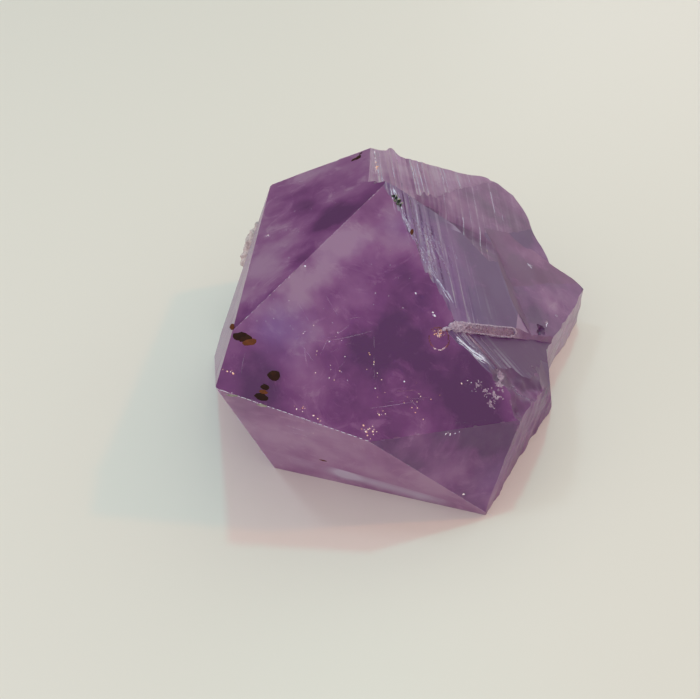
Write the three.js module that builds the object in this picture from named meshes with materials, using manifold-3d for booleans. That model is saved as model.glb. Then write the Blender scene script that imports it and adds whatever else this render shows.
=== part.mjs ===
// A loose amethyst point: the glassy six-faced tip of one quartz crystal, broken off its bed.
// It lies on its broken base with the tip low, at the left front. Its right side is one long
// rippled fracture that falls away in shallow ledges, its back is scalloped where it was snapped
// off, and a crumb of the bed's rind still clings to it at the back left.
//
// Millimetres, +Z up. The crystal is cut from a block the way a real one is bounded: first the
// flat growth faces, placed by quartz's own angles, then the breaks. Every cut removes what lies
// beyond a plane, or in a corner between several planes. A plane is given by the way it faces and
// by its distance from the heart, a point in the middle of the resting face.

import * as THREE from "three";
import { mergeVertices } from "three/addons/utils/BufferGeometryUtils.js";
import Module from "manifold-3d";

const wasm = await Module();
wasm.setup();

// ---------------------------------------------------------------- driving dimensions

const BLOCK = { width: 96, depth: 86, height: 46 }; // what the crystal is cut from
const CUTTER = 160; // side of the slabs that do the cutting
const HAIR = 0.05; // overlap between two cuts that meet at one plane

// Quartz: six tip faces lean by the same angle from the crystal's axis, 60 degrees apart round it,
// and below each of them is an upright (prism) face.
const TIP_FACE_SLOPE = 51.79;
const SECTOR = 60;

// How the crystal lies: where its tip points, and how far it is rolled about its own axis.
const TIP_AZIMUTH = -127.3;
const TIP_ELEVATION = 31.9;
const ROLL = 57.7;

// Growth faces: sector round the axis and distance from the heart. The face under the tip grew
// a few degrees off its ideal angle.
const TIP_FACES = {
  broadTop: { sector: 0, distance: 32.1 },
  leftTop: { sector: 1, distance: 39.9 },
  leftSide: { sector: 2, distance: 37.7 },
  underside: { sector: 3, distance: 32.4, droop: 2.7 },
  front: { sector: 4, distance: 29.9 },
  frontRight: { sector: 5, distance: 37.3 },
};
const PRISM_FACES = {
  backLeft: { sector: 2, distance: 38.4 },
};

// Breaks: the way each one faces (azimuth from +X, elevation) and its distance from the heart.
// The grain is the heading that a rippled break's ripples run along, and plunge is how steeply
// they drop where the break is too upright for the heading alone to say.
const BREAKS = {
  back: { azimuth: 95.9, elevation: 15.5, distance: 35.9, grain: 0 },
  backCorner: { azimuth: 59.5, elevation: 10.3, distance: 43.2, grain: 0 },
  rightEnd: { azimuth: 21.3, elevation: 7.9, distance: 38 },
  rightFlank: { azimuth: -32.7, elevation: 0, distance: 31.2, grain: -118.5, plunge: -65.6 },
  rightSide: { azimuth: -5.9, elevation: 13.9, distance: 30.6 },
  spurBack: { azimuth: 75.3, elevation: 5.8, distance: 25.2 },
  spurFront: { azimuth: -30.3, elevation: 0, distance: 27.1 },
  spurTop: { azimuth: -16.3, elevation: 56.5, distance: 27.6 },
  spurLedge: { azimuth: -24, elevation: 51.9, distance: 26.95 },
  scoop: { azimuth: -2.2, elevation: 38.9, distance: 29.4 },
  slope: { azimuth: -16.1, elevation: 53.4, distance: 29, grain: -73 },
  upperSlope: { azimuth: -9.2, elevation: 58.2, distance: 30.3, grain: -85 },
  crest: { azimuth: 8.7, elevation: 66.6, distance: 34.1, grain: -88 },
  crestDrop: { azimuth: 72.2, elevation: 17.6, distance: 20.4 },
  ridgeNear: { azimuth: 79.3, elevation: 12, distance: 16.9 },
  ridgeFar: { azimuth: 52.9, elevation: 12.1, distance: 19.3 },
  vein: { azimuth: -53.7, elevation: 15.5, distance: 23.1 },
  lowerSlope: { azimuth: 5, elevation: 58.5, distance: 25.6, grain: -42 },
  shoulder: { azimuth: -12.7, elevation: 53, distance: 29.4, grain: -50 },
};

// Scallops of the snapped-off back: how far along and up the break the middle of each lies from
// the point nearest the heart, the radius of its curve and how deep it bites.
const SCALLOPS = [
  { on: "back", along: -26, up: -9, radius: 46, bite: 2.6 },
  { on: "back", along: 4, up: -17, radius: 38, bite: 3 },
  { on: "back", along: -9, up: 10, radius: 60, bite: 1.3 },
  { on: "back", along: 24, up: 2, radius: 52, bite: 1.8 },
  { on: "backCorner", along: 4, up: -10, radius: 42, bite: 2.4 },
  { on: "backCorner", along: -6, up: 4, radius: 30, bite: 1.2 },
];

// The rind crumb: lumps along the edge between the left side and the back left face, by height
// above the resting face, how far back from the edge, how far out of the face, and size.
const RIND = [
  { height: 20.4, back: 1.8, out: -0.1, size: 1.7 },
  { height: 18.8, back: 2.2, out: 0.2, size: 2.2 },
  { height: 17.2, back: 2.1, out: 0.4, size: 2.2 },
  { height: 15.6, back: 2.4, out: 0.5, size: 2 },
  { height: 14.4, back: 1.9, out: 0.7, size: 1.7 },
  { height: 13.3, back: 2, out: 0.6, size: 1.5 },
  { height: 17, back: 5, out: 0.2, size: 2.6 },
  { height: 14, back: 5.2, out: 0.2, size: 2.2 },
  { height: 19.8, back: 6, out: -0.2, size: 2.3 },
];

// Small bites out of the worn edges: how many, and the size of the bites.
const EDGE_WEAR = [
  { edge: ["broadTop", "front"], from: "leftSide", to: "frontRight", bites: 13, size: 0.7 },
  { edge: ["broadTop", "frontRight"], from: "front", to: "shoulder", bites: 9, size: 0.9 },
  { edge: ["leftTop", "broadTop"], from: "leftSide", to: "slope", bites: 7, size: 0.5 },
  { edge: ["broadTop", "slope"], from: "leftTop", to: "vein", bites: 8, size: 0.8 },
  { edge: ["frontRight", "rightFlank"], from: "shoulder", to: "rest", bites: 6, size: 1.2 },
];

// ---------------------------------------------------------------- directions and planes

const radians = THREE.MathUtils.degToRad;

function direction(azimuth, elevation) {
  const level = Math.cos(radians(elevation));
  return new THREE.Vector3(
    level * Math.cos(radians(azimuth)),
    level * Math.sin(radians(azimuth)),
    Math.sin(radians(elevation)),
  );
}

const axis = direction(TIP_AZIMUTH, TIP_ELEVATION);
const side = direction(TIP_AZIMUTH + 90, 0);
const rise = new THREE.Vector3().crossVectors(axis, side);

function prismNormal(sector) {
  const turn = radians(ROLL + SECTOR * sector);
  return side.clone().multiplyScalar(Math.cos(turn)).addScaledVector(rise, Math.sin(turn));
}

function tipNormal(sector, droop = 0) {
  const lean = radians(TIP_FACE_SLOPE);
  const normal = prismNormal(sector).multiplyScalar(Math.sin(lean));
  normal.addScaledVector(axis, Math.cos(lean));
  normal.z -= Math.sin(radians(droop));
  return normal.normalize();
}

// Every named plane, with the two directions that lie in it: along its grain, and across that.
function planeFacing(normal, { distance, grain = 0, plunge = 0 }) {
  const along = direction(grain, plunge);
  along.addScaledVector(normal, -along.dot(normal)).normalize();
  return { normal, distance, along, across: new THREE.Vector3().crossVectors(normal, along) };
}

const planes = { rest: planeFacing(direction(0, -90), { distance: 0 }) };
for (const [name, face] of Object.entries(TIP_FACES)) {
  planes[name] = planeFacing(tipNormal(face.sector, face.droop), face);
}
for (const [name, face] of Object.entries(PRISM_FACES)) {
  planes[name] = planeFacing(prismNormal(face.sector), face);
}
for (const [name, face] of Object.entries(BREAKS)) {
  planes[name] = planeFacing(direction(face.azimuth, face.elevation), face);
}

// The point where three planes meet.
function meeting(...names) {
  const [a, b, c] = names.map((name) => planes[name]);
  const bc = new THREE.Vector3().crossVectors(b.normal, c.normal);
  const ca = new THREE.Vector3().crossVectors(c.normal, a.normal);
  const ab = new THREE.Vector3().crossVectors(a.normal, b.normal);
  const point = bc.multiplyScalar(a.distance);
  point.addScaledVector(ca, b.distance).addScaledVector(ab, c.distance);
  return point.divideScalar(a.normal.dot(new THREE.Vector3().crossVectors(b.normal, c.normal)));
}

// ---------------------------------------------------------------- solids

function solidOf(geometry) {
  geometry.deleteAttribute("normal");
  geometry.deleteAttribute("uv");
  const merged = mergeVertices(geometry, 1e-4);
  return new wasm.Manifold(
    new wasm.Mesh({
      numProp: 3,
      vertProperties: merged.attributes.position.array,
      triVerts: new Uint32Array(merged.index.array),
    }),
  );
}

function seededRandom(seed) {
  let state = seed;
  return () => {
    state = (state + 0x6d2b79f5) | 0;
    let mixed = Math.imul(state ^ (state >>> 15), 1 | state);
    mixed = (mixed + Math.imul(mixed ^ (mixed >>> 7), 61 | mixed)) ^ mixed;
    return ((mixed ^ (mixed >>> 14)) >>> 0) / 2 ** 32;
  };
}

// Everything beyond a named plane: a slab whose near face lies on it. A relief moves the points
// of the near face, so that the cut leaves ripples or lumps instead of a flat.
function beyond(name, relief = null) {
  const { normal, distance, along, across } = planes[name];
  const { columns = 1, rows = 1, width = CUTTER, length = CUTTER } = relief ?? {};
  const slab = new THREE.BoxGeometry(width, length, CUTTER, columns, rows, 1);
  slab.translate(0, 0, CUTTER / 2);
  if (relief) carve(slab, relief);
  slab.applyMatrix4(new THREE.Matrix4().makeBasis(across, along.clone().negate(), normal));
  slab.translate(...normal.clone().multiplyScalar(distance));
  return solidOf(slab);
}

// Everything on the near side of a named plane, and a hair past it, so that no skin is left
// between this cut and one that starts at the same plane.
function within(name) {
  const { normal, distance } = planes[name];
  const slab = new THREE.BoxGeometry(CUTTER, CUTTER, CUTTER).translate(0, 0, -CUTTER / 2);
  slab.applyQuaternion(new THREE.Quaternion().setFromUnitVectors(new THREE.Vector3(0, 0, 1), normal));
  slab.translate(...normal.clone().multiplyScalar(distance + HAIR));
  return solidOf(slab);
}

function carve(slab, { columns, rows, width, length, shape }) {
  const points = slab.attributes.position;
  for (let i = 0; i < points.count; i += 1) {
    if (points.getZ(i) > 0) continue;
    const column = Math.round((points.getX(i) / width + 0.5) * columns);
    const row = Math.round((points.getY(i) / length + 0.5) * rows);
    const { lift, slide } = shape(column, row, column / columns);
    const onRim = column === 0 || column === columns;
    points.setZ(i, lift);
    if (!onRim) points.setX(i, points.getX(i) + (slide * width) / columns);
  }
}

// The corner beyond several planes at once.
function corner(...solids) {
  return solids.reduce((left, right) => left.intersect(right));
}

// ---------------------------------------------------------------- reliefs

// Parallel ripples of uneven width and height, which change little along their length. Their
// height falls off from the left of the break to the right, from the first height to the last.
function ripples(seed, firstHeight, lastHeight, fadeFrom = 0.4, fadeTo = 0.7) {
  const random = seededRandom(seed);
  const table = Array.from({ length: 211 }, () => random() * 2 - 1);
  return (column, row, share) => {
    const fade = THREE.MathUtils.smoothstep(share, fadeFrom, fadeTo);
    const height = THREE.MathUtils.lerp(firstHeight, lastHeight, fade);
    const wobble = 0.25 * table[(3 * column + 17 * row) % table.length];
    return { lift: height * (table[column] + wobble), slide: 0.38 * table[column + 100] };
  };
}

// Rough broken lumps.
function lumps(seed, height) {
  const random = seededRandom(seed);
  const table = Array.from({ length: 997 }, () => random() * 2 - 1);
  return (column, row) => ({
    lift: height * table[(column * 31 + row * 57) % table.length],
    slide: 0.3 * table[(column * 43 + row * 19) % table.length],
  });
}

const RIPPLED = { columns: 76, rows: 3, width: 90, length: 110 };
const ROUGH = { columns: 36, rows: 36, width: 90, length: 90 };

// ---------------------------------------------------------------- the crystal

function growthFaces(block) {
  const names = [...Object.keys(TIP_FACES), ...Object.keys(PRISM_FACES)];
  return names.reduce((crystal, name) => crystal.subtract(beyond(name)), block);
}

// A shallow scallop: a large ball that dips into a break.
function scallop({ on, along, up, radius, bite }) {
  const { normal, distance } = planes[on];
  const levelAlong = new THREE.Vector3().crossVectors(normal, direction(0, 90)).normalize();
  const uphill = new THREE.Vector3().crossVectors(levelAlong, normal);
  const ball = new THREE.IcosahedronGeometry(radius, 13);
  ball.translate(...normal.clone().multiplyScalar(distance + radius - bite));
  ball.translate(...levelAlong.multiplyScalar(along));
  ball.translate(...uphill.multiplyScalar(up));
  return solidOf(ball);
}

// The hidden back and the right end, where the crystal was snapped off, with the spur that
// sticks out to the right.
function snappedOff(crystal) {
  const cuts = [
    beyond("back"),
    beyond("backCorner"),
    beyond("rightFlank", { ...RIPPLED, shape: ripples(29, 0.12, 0.12) }),
    corner(beyond("rightEnd"), beyond("spurBack")),
    corner(beyond("rightSide"), beyond("spurFront")),
    ...SCALLOPS.map(scallop),
  ];
  return cuts.reduce((left, cut) => left.subtract(cut), crystal);
}

// The long rippled fracture that faces up and to the right: the slope behind the vein with a
// rippled crest and upper slope, the spur's scooped top, and the lower slope and rough shoulder
// in front of the vein's little step.
function rippledSlope(crystal) {
  const upperSlope = beyond("upperSlope", { ...RIPPLED, shape: ripples(5, 0.26, 0.06, 0.35, 0.5) });
  const crest = beyond("crest", { ...RIPPLED, shape: ripples(11, 0.36, 0.14, 0.32, 0.46) });
  const slope = beyond("slope", { ...RIPPLED, shape: ripples(3, 0.24, 0.03, 0.38, 0.47) });
  const lowerSlope = beyond("lowerSlope", { ...RIPPLED, shape: ripples(17, 0.18, 0.04, 0.34, 0.5) });
  const shoulder = beyond("shoulder", { ...ROUGH, shape: lumps(23, 0.4) });
  const vein = beyond("vein");
  const cuts = [
    corner(slope, within("vein")),
    corner(upperSlope, beyond("ridgeNear")),
    corner(upperSlope, beyond("ridgeFar")),
    corner(crest, beyond("crestDrop")),
    corner(lowerSlope, vein),
    corner(shoulder, vein),
    corner(beyond("spurTop"), beyond("scoop"), beyond("spurLedge")),
  ];
  return cuts.reduce((left, cut) => left.subtract(cut), crystal);
}

// A small rough stone, used as a bite out of an edge or as a lump of rind.
function pebble(centre, size, seed) {
  const random = seededRandom(seed);
  const ball = new THREE.IcosahedronGeometry(1, 1);
  const merged = mergeVertices(ball.deleteAttribute("normal").deleteAttribute("uv"), 1e-4);
  const points = merged.attributes.position;
  for (let i = 0; i < points.count; i += 1) {
    const reach = size * (0.78 + 0.4 * random());
    points.setXYZ(i, points.getX(i) * reach, points.getY(i) * reach, points.getZ(i) * reach);
  }
  merged.translate(...centre);
  return solidOf(merged);
}

function wornEdges(crystal) {
  const random = seededRandom(41);
  let worn = crystal;
  for (const { edge, from, to, bites, size } of EDGE_WEAR) {
    const start = meeting(...edge, from);
    const end = meeting(...edge, to);
    const outward = planes[edge[0]].normal.clone().add(planes[edge[1]].normal).normalize();
    for (let i = 0; i < bites; i += 1) {
      const place = start.clone().lerp(end, (i + 0.2 + 0.6 * random()) / bites);
      const reach = size * (0.6 + 0.8 * random());
      place.addScaledVector(outward, reach * (0.62 + 0.25 * random()));
      worn = worn.subtract(pebble(place, reach, 100 + i + 17 * bites));
    }
  }
  return worn;
}

function rindCrumb() {
  const top = meeting("leftSide", "backLeft", "leftTop");
  const foot = meeting("leftSide", "backLeft", "rest");
  const { normal } = planes.backLeft;
  const backward = new THREE.Vector3().crossVectors(direction(0, 90), normal).negate().normalize();
  const stones = RIND.map(({ height, back, out, size }, i) => {
    const place = foot.clone().lerp(top, height / top.z);
    place.addScaledVector(backward, back).addScaledVector(normal, out);
    return pebble(place, size, 7 + i);
  });
  return stones.reduce((left, right) => left.add(right));
}

function makeCrystal() {
  const { width, depth, height } = BLOCK;
  const block = solidOf(new THREE.BoxGeometry(width, depth, height).translate(0, 0, height / 2));
  const broken = rippledSlope(snappedOff(growthFaces(block)));
  const solid = wornEdges(broken).add(rindCrumb());
  const { vertProperties, triVerts } = solid.getMesh();
  const geometry = new THREE.BufferGeometry();
  geometry.setAttribute("position", new THREE.BufferAttribute(vertProperties, 3));
  geometry.setIndex(new THREE.BufferAttribute(triVerts, 1));
  return geometry;
}

// ---------------------------------------------------------------- the part

const amethyst = new THREE.MeshStandardMaterial({ color: 0x6e4673, roughness: 0.15, metalness: 0 });
const crystal = new THREE.Mesh(makeCrystal(), amethyst);
crystal.name = "amethyst_point";

// The part's origin is the middle of its box, on the surface that it rests on.
crystal.geometry.computeBoundingBox();
const middle = crystal.geometry.boundingBox.getCenter(new THREE.Vector3());
crystal.position.set(-middle.x, -middle.y, 0);

const group = new THREE.Group();
group.add(crystal);

export default group;
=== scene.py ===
"""The looks of a loose amethyst point: one clear purple crystal on a pale table.

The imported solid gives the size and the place. The crystal is cut again here from the same
planes, with the fine relief that its breaks have, and takes the solid's place. Lengths are
millimetres until a mesh is handed to Blender, which works in metres.
"""

import math

import bmesh
import bpy
import numpy as np
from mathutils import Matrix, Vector
from mathutils.bvhtree import BVHTree


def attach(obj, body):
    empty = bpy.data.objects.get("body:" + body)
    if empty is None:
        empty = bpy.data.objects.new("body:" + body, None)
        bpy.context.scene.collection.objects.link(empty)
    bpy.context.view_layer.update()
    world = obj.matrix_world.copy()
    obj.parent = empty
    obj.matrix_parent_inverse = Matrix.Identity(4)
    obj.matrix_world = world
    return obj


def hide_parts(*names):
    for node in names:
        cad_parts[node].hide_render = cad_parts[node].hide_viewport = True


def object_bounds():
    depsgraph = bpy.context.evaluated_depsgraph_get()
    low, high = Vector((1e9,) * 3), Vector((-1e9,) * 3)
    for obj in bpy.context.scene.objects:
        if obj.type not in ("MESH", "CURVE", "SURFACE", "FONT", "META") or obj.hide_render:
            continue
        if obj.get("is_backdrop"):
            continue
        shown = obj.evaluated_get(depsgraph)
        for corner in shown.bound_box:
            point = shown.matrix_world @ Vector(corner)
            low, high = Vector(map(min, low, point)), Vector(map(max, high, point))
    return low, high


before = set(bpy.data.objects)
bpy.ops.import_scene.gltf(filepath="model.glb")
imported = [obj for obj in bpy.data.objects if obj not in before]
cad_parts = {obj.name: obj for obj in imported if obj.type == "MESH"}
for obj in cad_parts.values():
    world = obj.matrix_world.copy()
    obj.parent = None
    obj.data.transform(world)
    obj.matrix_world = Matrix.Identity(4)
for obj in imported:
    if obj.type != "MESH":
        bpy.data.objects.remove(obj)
CAD_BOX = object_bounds()

MM = 0.001
CAD_NODE = "amethyst_point"
BODY = "root"

# ---------------------------------------------------------------- driving dimensions

CUTTER = 80.0  # how far a cutting slab reaches each way
HAIR = 0.3  # overlap between two cuts that meet at one plane

# Quartz: six tip faces lean by one angle from the crystal's axis, 60 degrees apart round it,
# and below each of them is an upright (prism) face.
TIP_FACE_SLOPE = 51.79
SECTOR = 60
TIP_AZIMUTH = -127.3
TIP_ELEVATION = 31.9
ROLL = 57.7

# Growth faces: sector, distance from the heart, which is a point in the middle of the resting
# face, and how far the face droops from its ideal angle.
TIP_FACES = {
    "broadTop": (0, 32.1, 0), "leftTop": (1, 39.9, 0), "leftSide": (2, 37.7, 0),
    "underside": (3, 32.4, 2.7), "front": (4, 29.9, 0), "frontRight": (5, 37.3, 0),
}
PRISM_FACES = {"backLeft": (2, 38.4)}

# Breaks: azimuth, elevation, distance from the heart, and the heading and plunge of the grain.
BREAKS = {
    "back": (95.9, 15.5, 35.9), "backCorner": (59.5, 10.3, 43.2), "rightEnd": (21.3, 7.9, 38),
    "rightFlank": (-32.7, 0, 31.2, -118.5, -65.6), "rightSide": (-5.9, 13.9, 30.6),
    "spurBack": (75.3, 5.8, 25.2), "spurFront": (-30.3, 0, 27.1),
    "spurTop": (-16.3, 56.5, 27.6), "spurLedge": (-24, 51.9, 26.95),
    "scoop": (-2.2, 38.9, 29.4), "slope": (-16.1, 53.4, 29, -73),
    "upperSlope": (-9.2, 58.2, 30.3, -85), "crest": (8.7, 66.6, 34.1, -88),
    "crestDrop": (72.2, 17.6, 20.4), "ridgeNear": (79.3, 12, 16.9),
    "ridgeFar": (52.9, 12.1, 19.3), "vein": (-53.7, 15.5, 23.1),
    "lowerSlope": (5, 58.5, 25.6, -42), "shoulder": (-12.7, 53, 29.4, -50),
}

# ---------------------------------------------------------------- directions and planes


def direction(azimuth, elevation):
    level = math.cos(math.radians(elevation))
    return np.array([
        level * math.cos(math.radians(azimuth)),
        level * math.sin(math.radians(azimuth)),
        math.sin(math.radians(elevation)),
    ])


def unit(vector):
    return vector / np.linalg.norm(vector)


AXIS = direction(TIP_AZIMUTH, TIP_ELEVATION)
SIDE = direction(TIP_AZIMUTH + 90, 0)
RISE = np.cross(AXIS, SIDE)
UP = np.array([0, 0, 1.0])


def prism_normal(sector):
    turn = math.radians(ROLL + SECTOR * sector)
    return SIDE * math.cos(turn) + RISE * math.sin(turn)


def tip_normal(sector, droop):
    lean = math.radians(TIP_FACE_SLOPE)
    normal = prism_normal(sector) * math.sin(lean) + AXIS * math.cos(lean)
    normal[2] -= math.sin(math.radians(droop))
    return unit(normal)


class Plane:
    """A named plane: the way it faces, its distance, and the two directions that lie in it."""

    def __init__(self, normal, distance, grain=0, plunge=0):
        along = direction(grain, plunge)
        self.normal = normal
        self.distance = distance
        self.along = unit(along - normal * along.dot(normal))
        self.across = np.cross(normal, self.along)

    def place(self, u, v, lift=0.0):
        """The point u across and v along the plane, that far out of it."""
        u, v, lift = (np.asarray(x, float)[..., None] for x in (u, v, lift))
        return u * self.across + v * self.along + (self.distance + lift) * self.normal


PLANES = {"rest": Plane(direction(0, -90), 0)}
for name, (sector, distance, droop) in TIP_FACES.items():
    PLANES[name] = Plane(tip_normal(sector, droop), distance)
for name, (sector, distance) in PRISM_FACES.items():
    PLANES[name] = Plane(prism_normal(sector), distance)
for name, (azimuth, elevation, distance, *grain) in BREAKS.items():
    PLANES[name] = Plane(direction(azimuth, elevation), distance, *grain)


def meeting(*names):
    """The point where three planes meet."""
    planes = [PLANES[name] for name in names]
    return np.linalg.solve([p.normal for p in planes], [p.distance for p in planes])


def inside(name, points):
    """How deep under a named plane each point lies."""
    return PLANES[name].distance - points @ PLANES[name].normal


def slant(first, second):
    """The sine of the angle between two planes."""
    return np.linalg.norm(np.cross(PLANES[first].normal, PLANES[second].normal))


def read(items, name, width=1, kind=float):
    """One value of all a mesh's vertices, edges or faces."""
    values = np.empty(len(items) * width, kind)
    items.foreach_get(name, values)
    return values.reshape(-1, width) if width > 1 else values


CAD_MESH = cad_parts[CAD_NODE].data
SAME_WAY = math.cos(math.radians(0.3))


def find_heart():
    """Where the heart is in the row frame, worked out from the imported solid's growth faces."""
    normals = read(CAD_MESH.polygons, "normal", 3)
    centres = read(CAD_MESH.polygons, "center", 3) / MM
    areas = read(CAD_MESH.polygons, "area")
    rows, offsets = [], []
    for face in [*TIP_FACES, *PRISM_FACES]:
        plane = PLANES[face]
        flat = normals @ plane.normal > SAME_WAY
        offset = np.average(centres[flat] @ plane.normal, weights=areas[flat]) - plane.distance
        offsets.append(offset)
        rows.append(plane.normal)
    return np.linalg.lstsq(np.array(rows), np.array(offsets), rcond=None)[0]


HEART = find_heart()
ON_PLANE = 1.2  # how far off a plane the corners of a face of that plane may be
FACES_ALONG = 0.8  # the least cosine between the two


def window(name):
    """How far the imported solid's face on a plane reaches, across it and along it."""
    plane = PLANES[name]
    places = read(CAD_MESH.vertices, "co", 3) / MM - HEART
    near = []
    for polygon in CAD_MESH.polygons:
        corners = places[list(polygon.vertices)]
        close = np.abs(corners @ plane.normal - plane.distance).max() < ON_PLANE
        if close and np.dot(polygon.normal, plane.normal) > FACES_ALONG:
            near.append(corners)
    near = np.concatenate(near)
    across, along = near @ plane.across, near @ plane.along
    return (across.min(), across.max()), (along.min(), along.max())


# ---------------------------------------------------------------- noise


def scatter(cells, seed):
    """A fixed number from -1 to 1 for each whole-number cell."""
    mixed = cells[0] * 374761393 + cells[1] * 668265263 + seed * 2246822519
    mixed = (mixed ^ (mixed >> 13)) * 1274126177 & 0xFFFFFFFF
    mixed = (mixed ^ (mixed >> 16)) & 0xFFFF
    return mixed / 0x7FFF - 1


def noise(u, v, seed):
    """Smooth bumps one unit wide, from -1 to 1."""
    u, v = np.broadcast_arrays(np.asarray(u, float), np.asarray(v, float))
    left, low = np.floor(u).astype(np.int64), np.floor(v).astype(np.int64)
    s, t = u - left, v - low
    s, t = s * s * (3 - 2 * s), t * t * (3 - 2 * t)
    bottom = scatter((left, low), seed) * (1 - s) + scatter((left + 1, low), seed) * s
    top = scatter((left, low + 1), seed) * (1 - s) + scatter((left + 1, low + 1), seed) * s
    return bottom * (1 - t) + top * t


def ramp(value, start, end):
    """0 before start, 1 after end, and smooth between them."""
    share = np.clip((np.asarray(value, float) - start) / (end - start), 0, 1)
    return share * share * (3 - 2 * share)


def hump(value, middle, width):
    """A hump 1 high and that wide on both sides of its middle."""
    return np.exp(-(((np.asarray(value, float) - middle) / width) ** 2))


# ---------------------------------------------------------------- reliefs

LUMPS = {  # break: seed, then the width and height of lumps that have no direction
    "slope": (61, [(9, 0.14), (3.5, 0.04)]),
    "lowerSlope": (71, [(6, 0.2), (2.5, 0.05)]),
    "vein": (131, [(2.5, 0.12), (0.9, 0.08)]),
    "shoulder": (23, [(3.6, 0.75), (1.5, 0.3), (0.6, 0.12)]),
    "spurTop": (101, [(7, 0.25), (2.5, 0.05)]),
    "scoop": (109, [(6, 0.3), (1.6, 0.05)]),
    "spurFront": (107, [(5, 0.3), (1.6, 0.12), (0.7, 0.04)]),
    "rightFlank": (31, [(2.5, 0.1), (1, 0.05)]),
    "rightSide": (37, [(6, 0.15), (2, 0.06), (0.8, 0.025)]),
    "back": (47, [(7, 0.3), (1.8, 0.1), (0.7, 0.03)]),
    "rightEnd": (43, [(5, 0.2), (1.8, 0.12), (0.9, 0.05)]),
    "spurBack": (44, [(5, 0.2), (1.8, 0.12), (0.9, 0.05)]),
}
LINES = {  # break: seed, how long the lines are, then the spacing and height of the grooves
    "crest": (11, 40, [(3.4, 0.2), (1.3, 0.08), (0.5, 0.1), (0.28, 0.06)]),
    "upperSlope": (5, 40, [(2.6, 0.08), (1.1, 0.05), (0.45, 0.06), (0.27, 0.04)]),
    "slope": (3, 24, [(1.3, 0.14), (0.55, 0.1), (0.3, 0.06)]),
    "lowerSlope": (17, 20, [(1.2, 0.16), (0.5, 0.1), (0.3, 0.05)]),
    "rightFlank": (29, 8, [(4, 0.25), (1.7, 0.16), (0.8, 0.08), (0.4, 0.04)]),
}
LINE_SHARPNESS = 0.6
FADES = {"crest": (-2, 14), "upperSlope": (2, 16)}  # where along x the lines grow faint
FADED = 0.8  # how much of them is gone in the end
EDGE_SHARES = {"slope": (0.05, 0.95), "lowerSlope": (0.06, 0.94)}  # all over, near the edge only
EDGE_REACH = (0.5, 4.5)
RIBS = {  # break: the axis across its upright ribs, then each one's middle, width and height
    "back": (0, [(-1.8, 1.1, 2.5), (2.2, 2.6, -0.6), (19.5, 3.5, 1.2)]),
    "rightEnd": (1, [(28.5, 3.5, 0.7), (21.5, 3, -0.5), (14, 2.5, -0.9)]),
    "spurBack": (0, [(37.3, 2.6, 0.7), (42, 1.5, -0.5)]),
}
ALIKE = {"backCorner": "rightEnd", "spurLedge": "spurTop"}  # breaks with the relief of another
GROWTH_LINES = (83, [(0.9, 0.05), (0.35, 0.03)])  # level lines on the upright growth face
SPUR_FRONT_LIFT = 0.5
GROOVE_DEPTH, GROOVE_REACH = 0.6, 3.6  # the hollow where the upper slope meets the near ridge
HORN_RISE = (10, 30)  # the back's ribs grow with height, up to a little horn on the skyline
ROUGH = {*LUMPS, *LINES, *ALIKE, *PRISM_FACES}
GROOVED = ("crest", "upperSlope", "slope", "lowerSlope")


def lumps(u, v, seed, bands):
    total = 0
    for number, (spacing, height) in enumerate(bands):
        total = total + height * noise(u / spacing, v / spacing, seed + number)
    return total


def lines(u, v, seed, run, bands):
    """Parallel steps and grooves that run along v."""
    total = 0
    for number, (spacing, height) in enumerate(bands):
        bumps = noise(u / spacing, v / (spacing * run), seed + number)
        total = total + height * np.sign(bumps) * np.abs(bumps) ** LINE_SHARPNESS
    return total


def line_strength(name, points):
    """Some lines grow faint toward the right, others away from the near edge."""
    if name in FADES:
        return 1 - FADED * ramp(points[..., 0], *FADES[name])
    if name in EDGE_SHARES:
        everywhere, at_edge = EDGE_SHARES[name]
        return everywhere + at_edge * (1 - ramp(inside("broadTop", points), *EDGE_REACH))
    return 1


def relief(name, u, v, points):
    """How far a rough face rises from its plane at each point."""
    name = ALIKE.get(name, name)
    if name in PRISM_FACES:
        return lumps(points @ AXIS, 0, *GROWTH_LINES)
    rise = 0
    if name in LINES:
        rise = line_strength(name, points) * lines(u, v, *LINES[name])
    if name in RIBS:
        axis, ribs = RIBS[name]
        rise = sum(height * hump(points[..., axis], *rib) for *rib, height in ribs)
    if name == "back":
        rise = ramp(points[..., 2], *HORN_RISE) * rise
    if name == "spurFront":
        rise = SPUR_FRONT_LIFT
    if name == "upperSlope":
        return rise - GROOVE_DEPTH * (1 - ramp(-inside("ridgeNear", points), 0, GROOVE_REACH))
    return rise + lumps(u, v, *LUMPS[name]) if name in LUMPS else rise


def on_face(name, u, v, lift=0.0):
    """A place on a face, with its relief, or that far above it."""
    plane = PLANES[name]
    rise = relief(name, u, v, plane.place(u, v)) if name in ROUGH else 0
    return plane.place(u, v, rise + lift)


# ---------------------------------------------------------------- meshes and cutting

CUT_NAMES = [*PLANES, "chip", "scallop", "shard", "pit", "block"]


def new_object(name, points, faces):
    mesh = bpy.data.meshes.new(name)
    mesh.from_pydata([tuple(p) for p in points], [], faces)
    mesh.update()
    thing = bpy.data.objects.new(name, mesh)
    bpy.context.scene.collection.objects.link(thing)
    return thing


def add_layer(thing, name, kind, domain, values):
    layer = thing.data.attributes.new(name, kind, domain)
    layer.data.foreach_set("value", values)
    return thing


def mark(thing, name):
    """Notes on every face which cut made it."""
    return add_layer(thing, "cut", "INT", "FACE", [CUT_NAMES.index(name)] * len(thing.data.polygons))


def cuts_of(thing):
    """Which cut made each face."""
    return read(thing.data.attributes["cut"].data, "value", kind=np.int32)


def apply_step(thing):
    """Puts what a thing's modifier makes of it in the place of its mesh."""
    shown = thing.evaluated_get(bpy.context.evaluated_depsgraph_get())
    mesh = bpy.data.meshes.new_from_object(shown)
    thing.modifiers.clear()
    old, thing.data = thing.data, mesh
    bpy.data.meshes.remove(old)
    return thing


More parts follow.
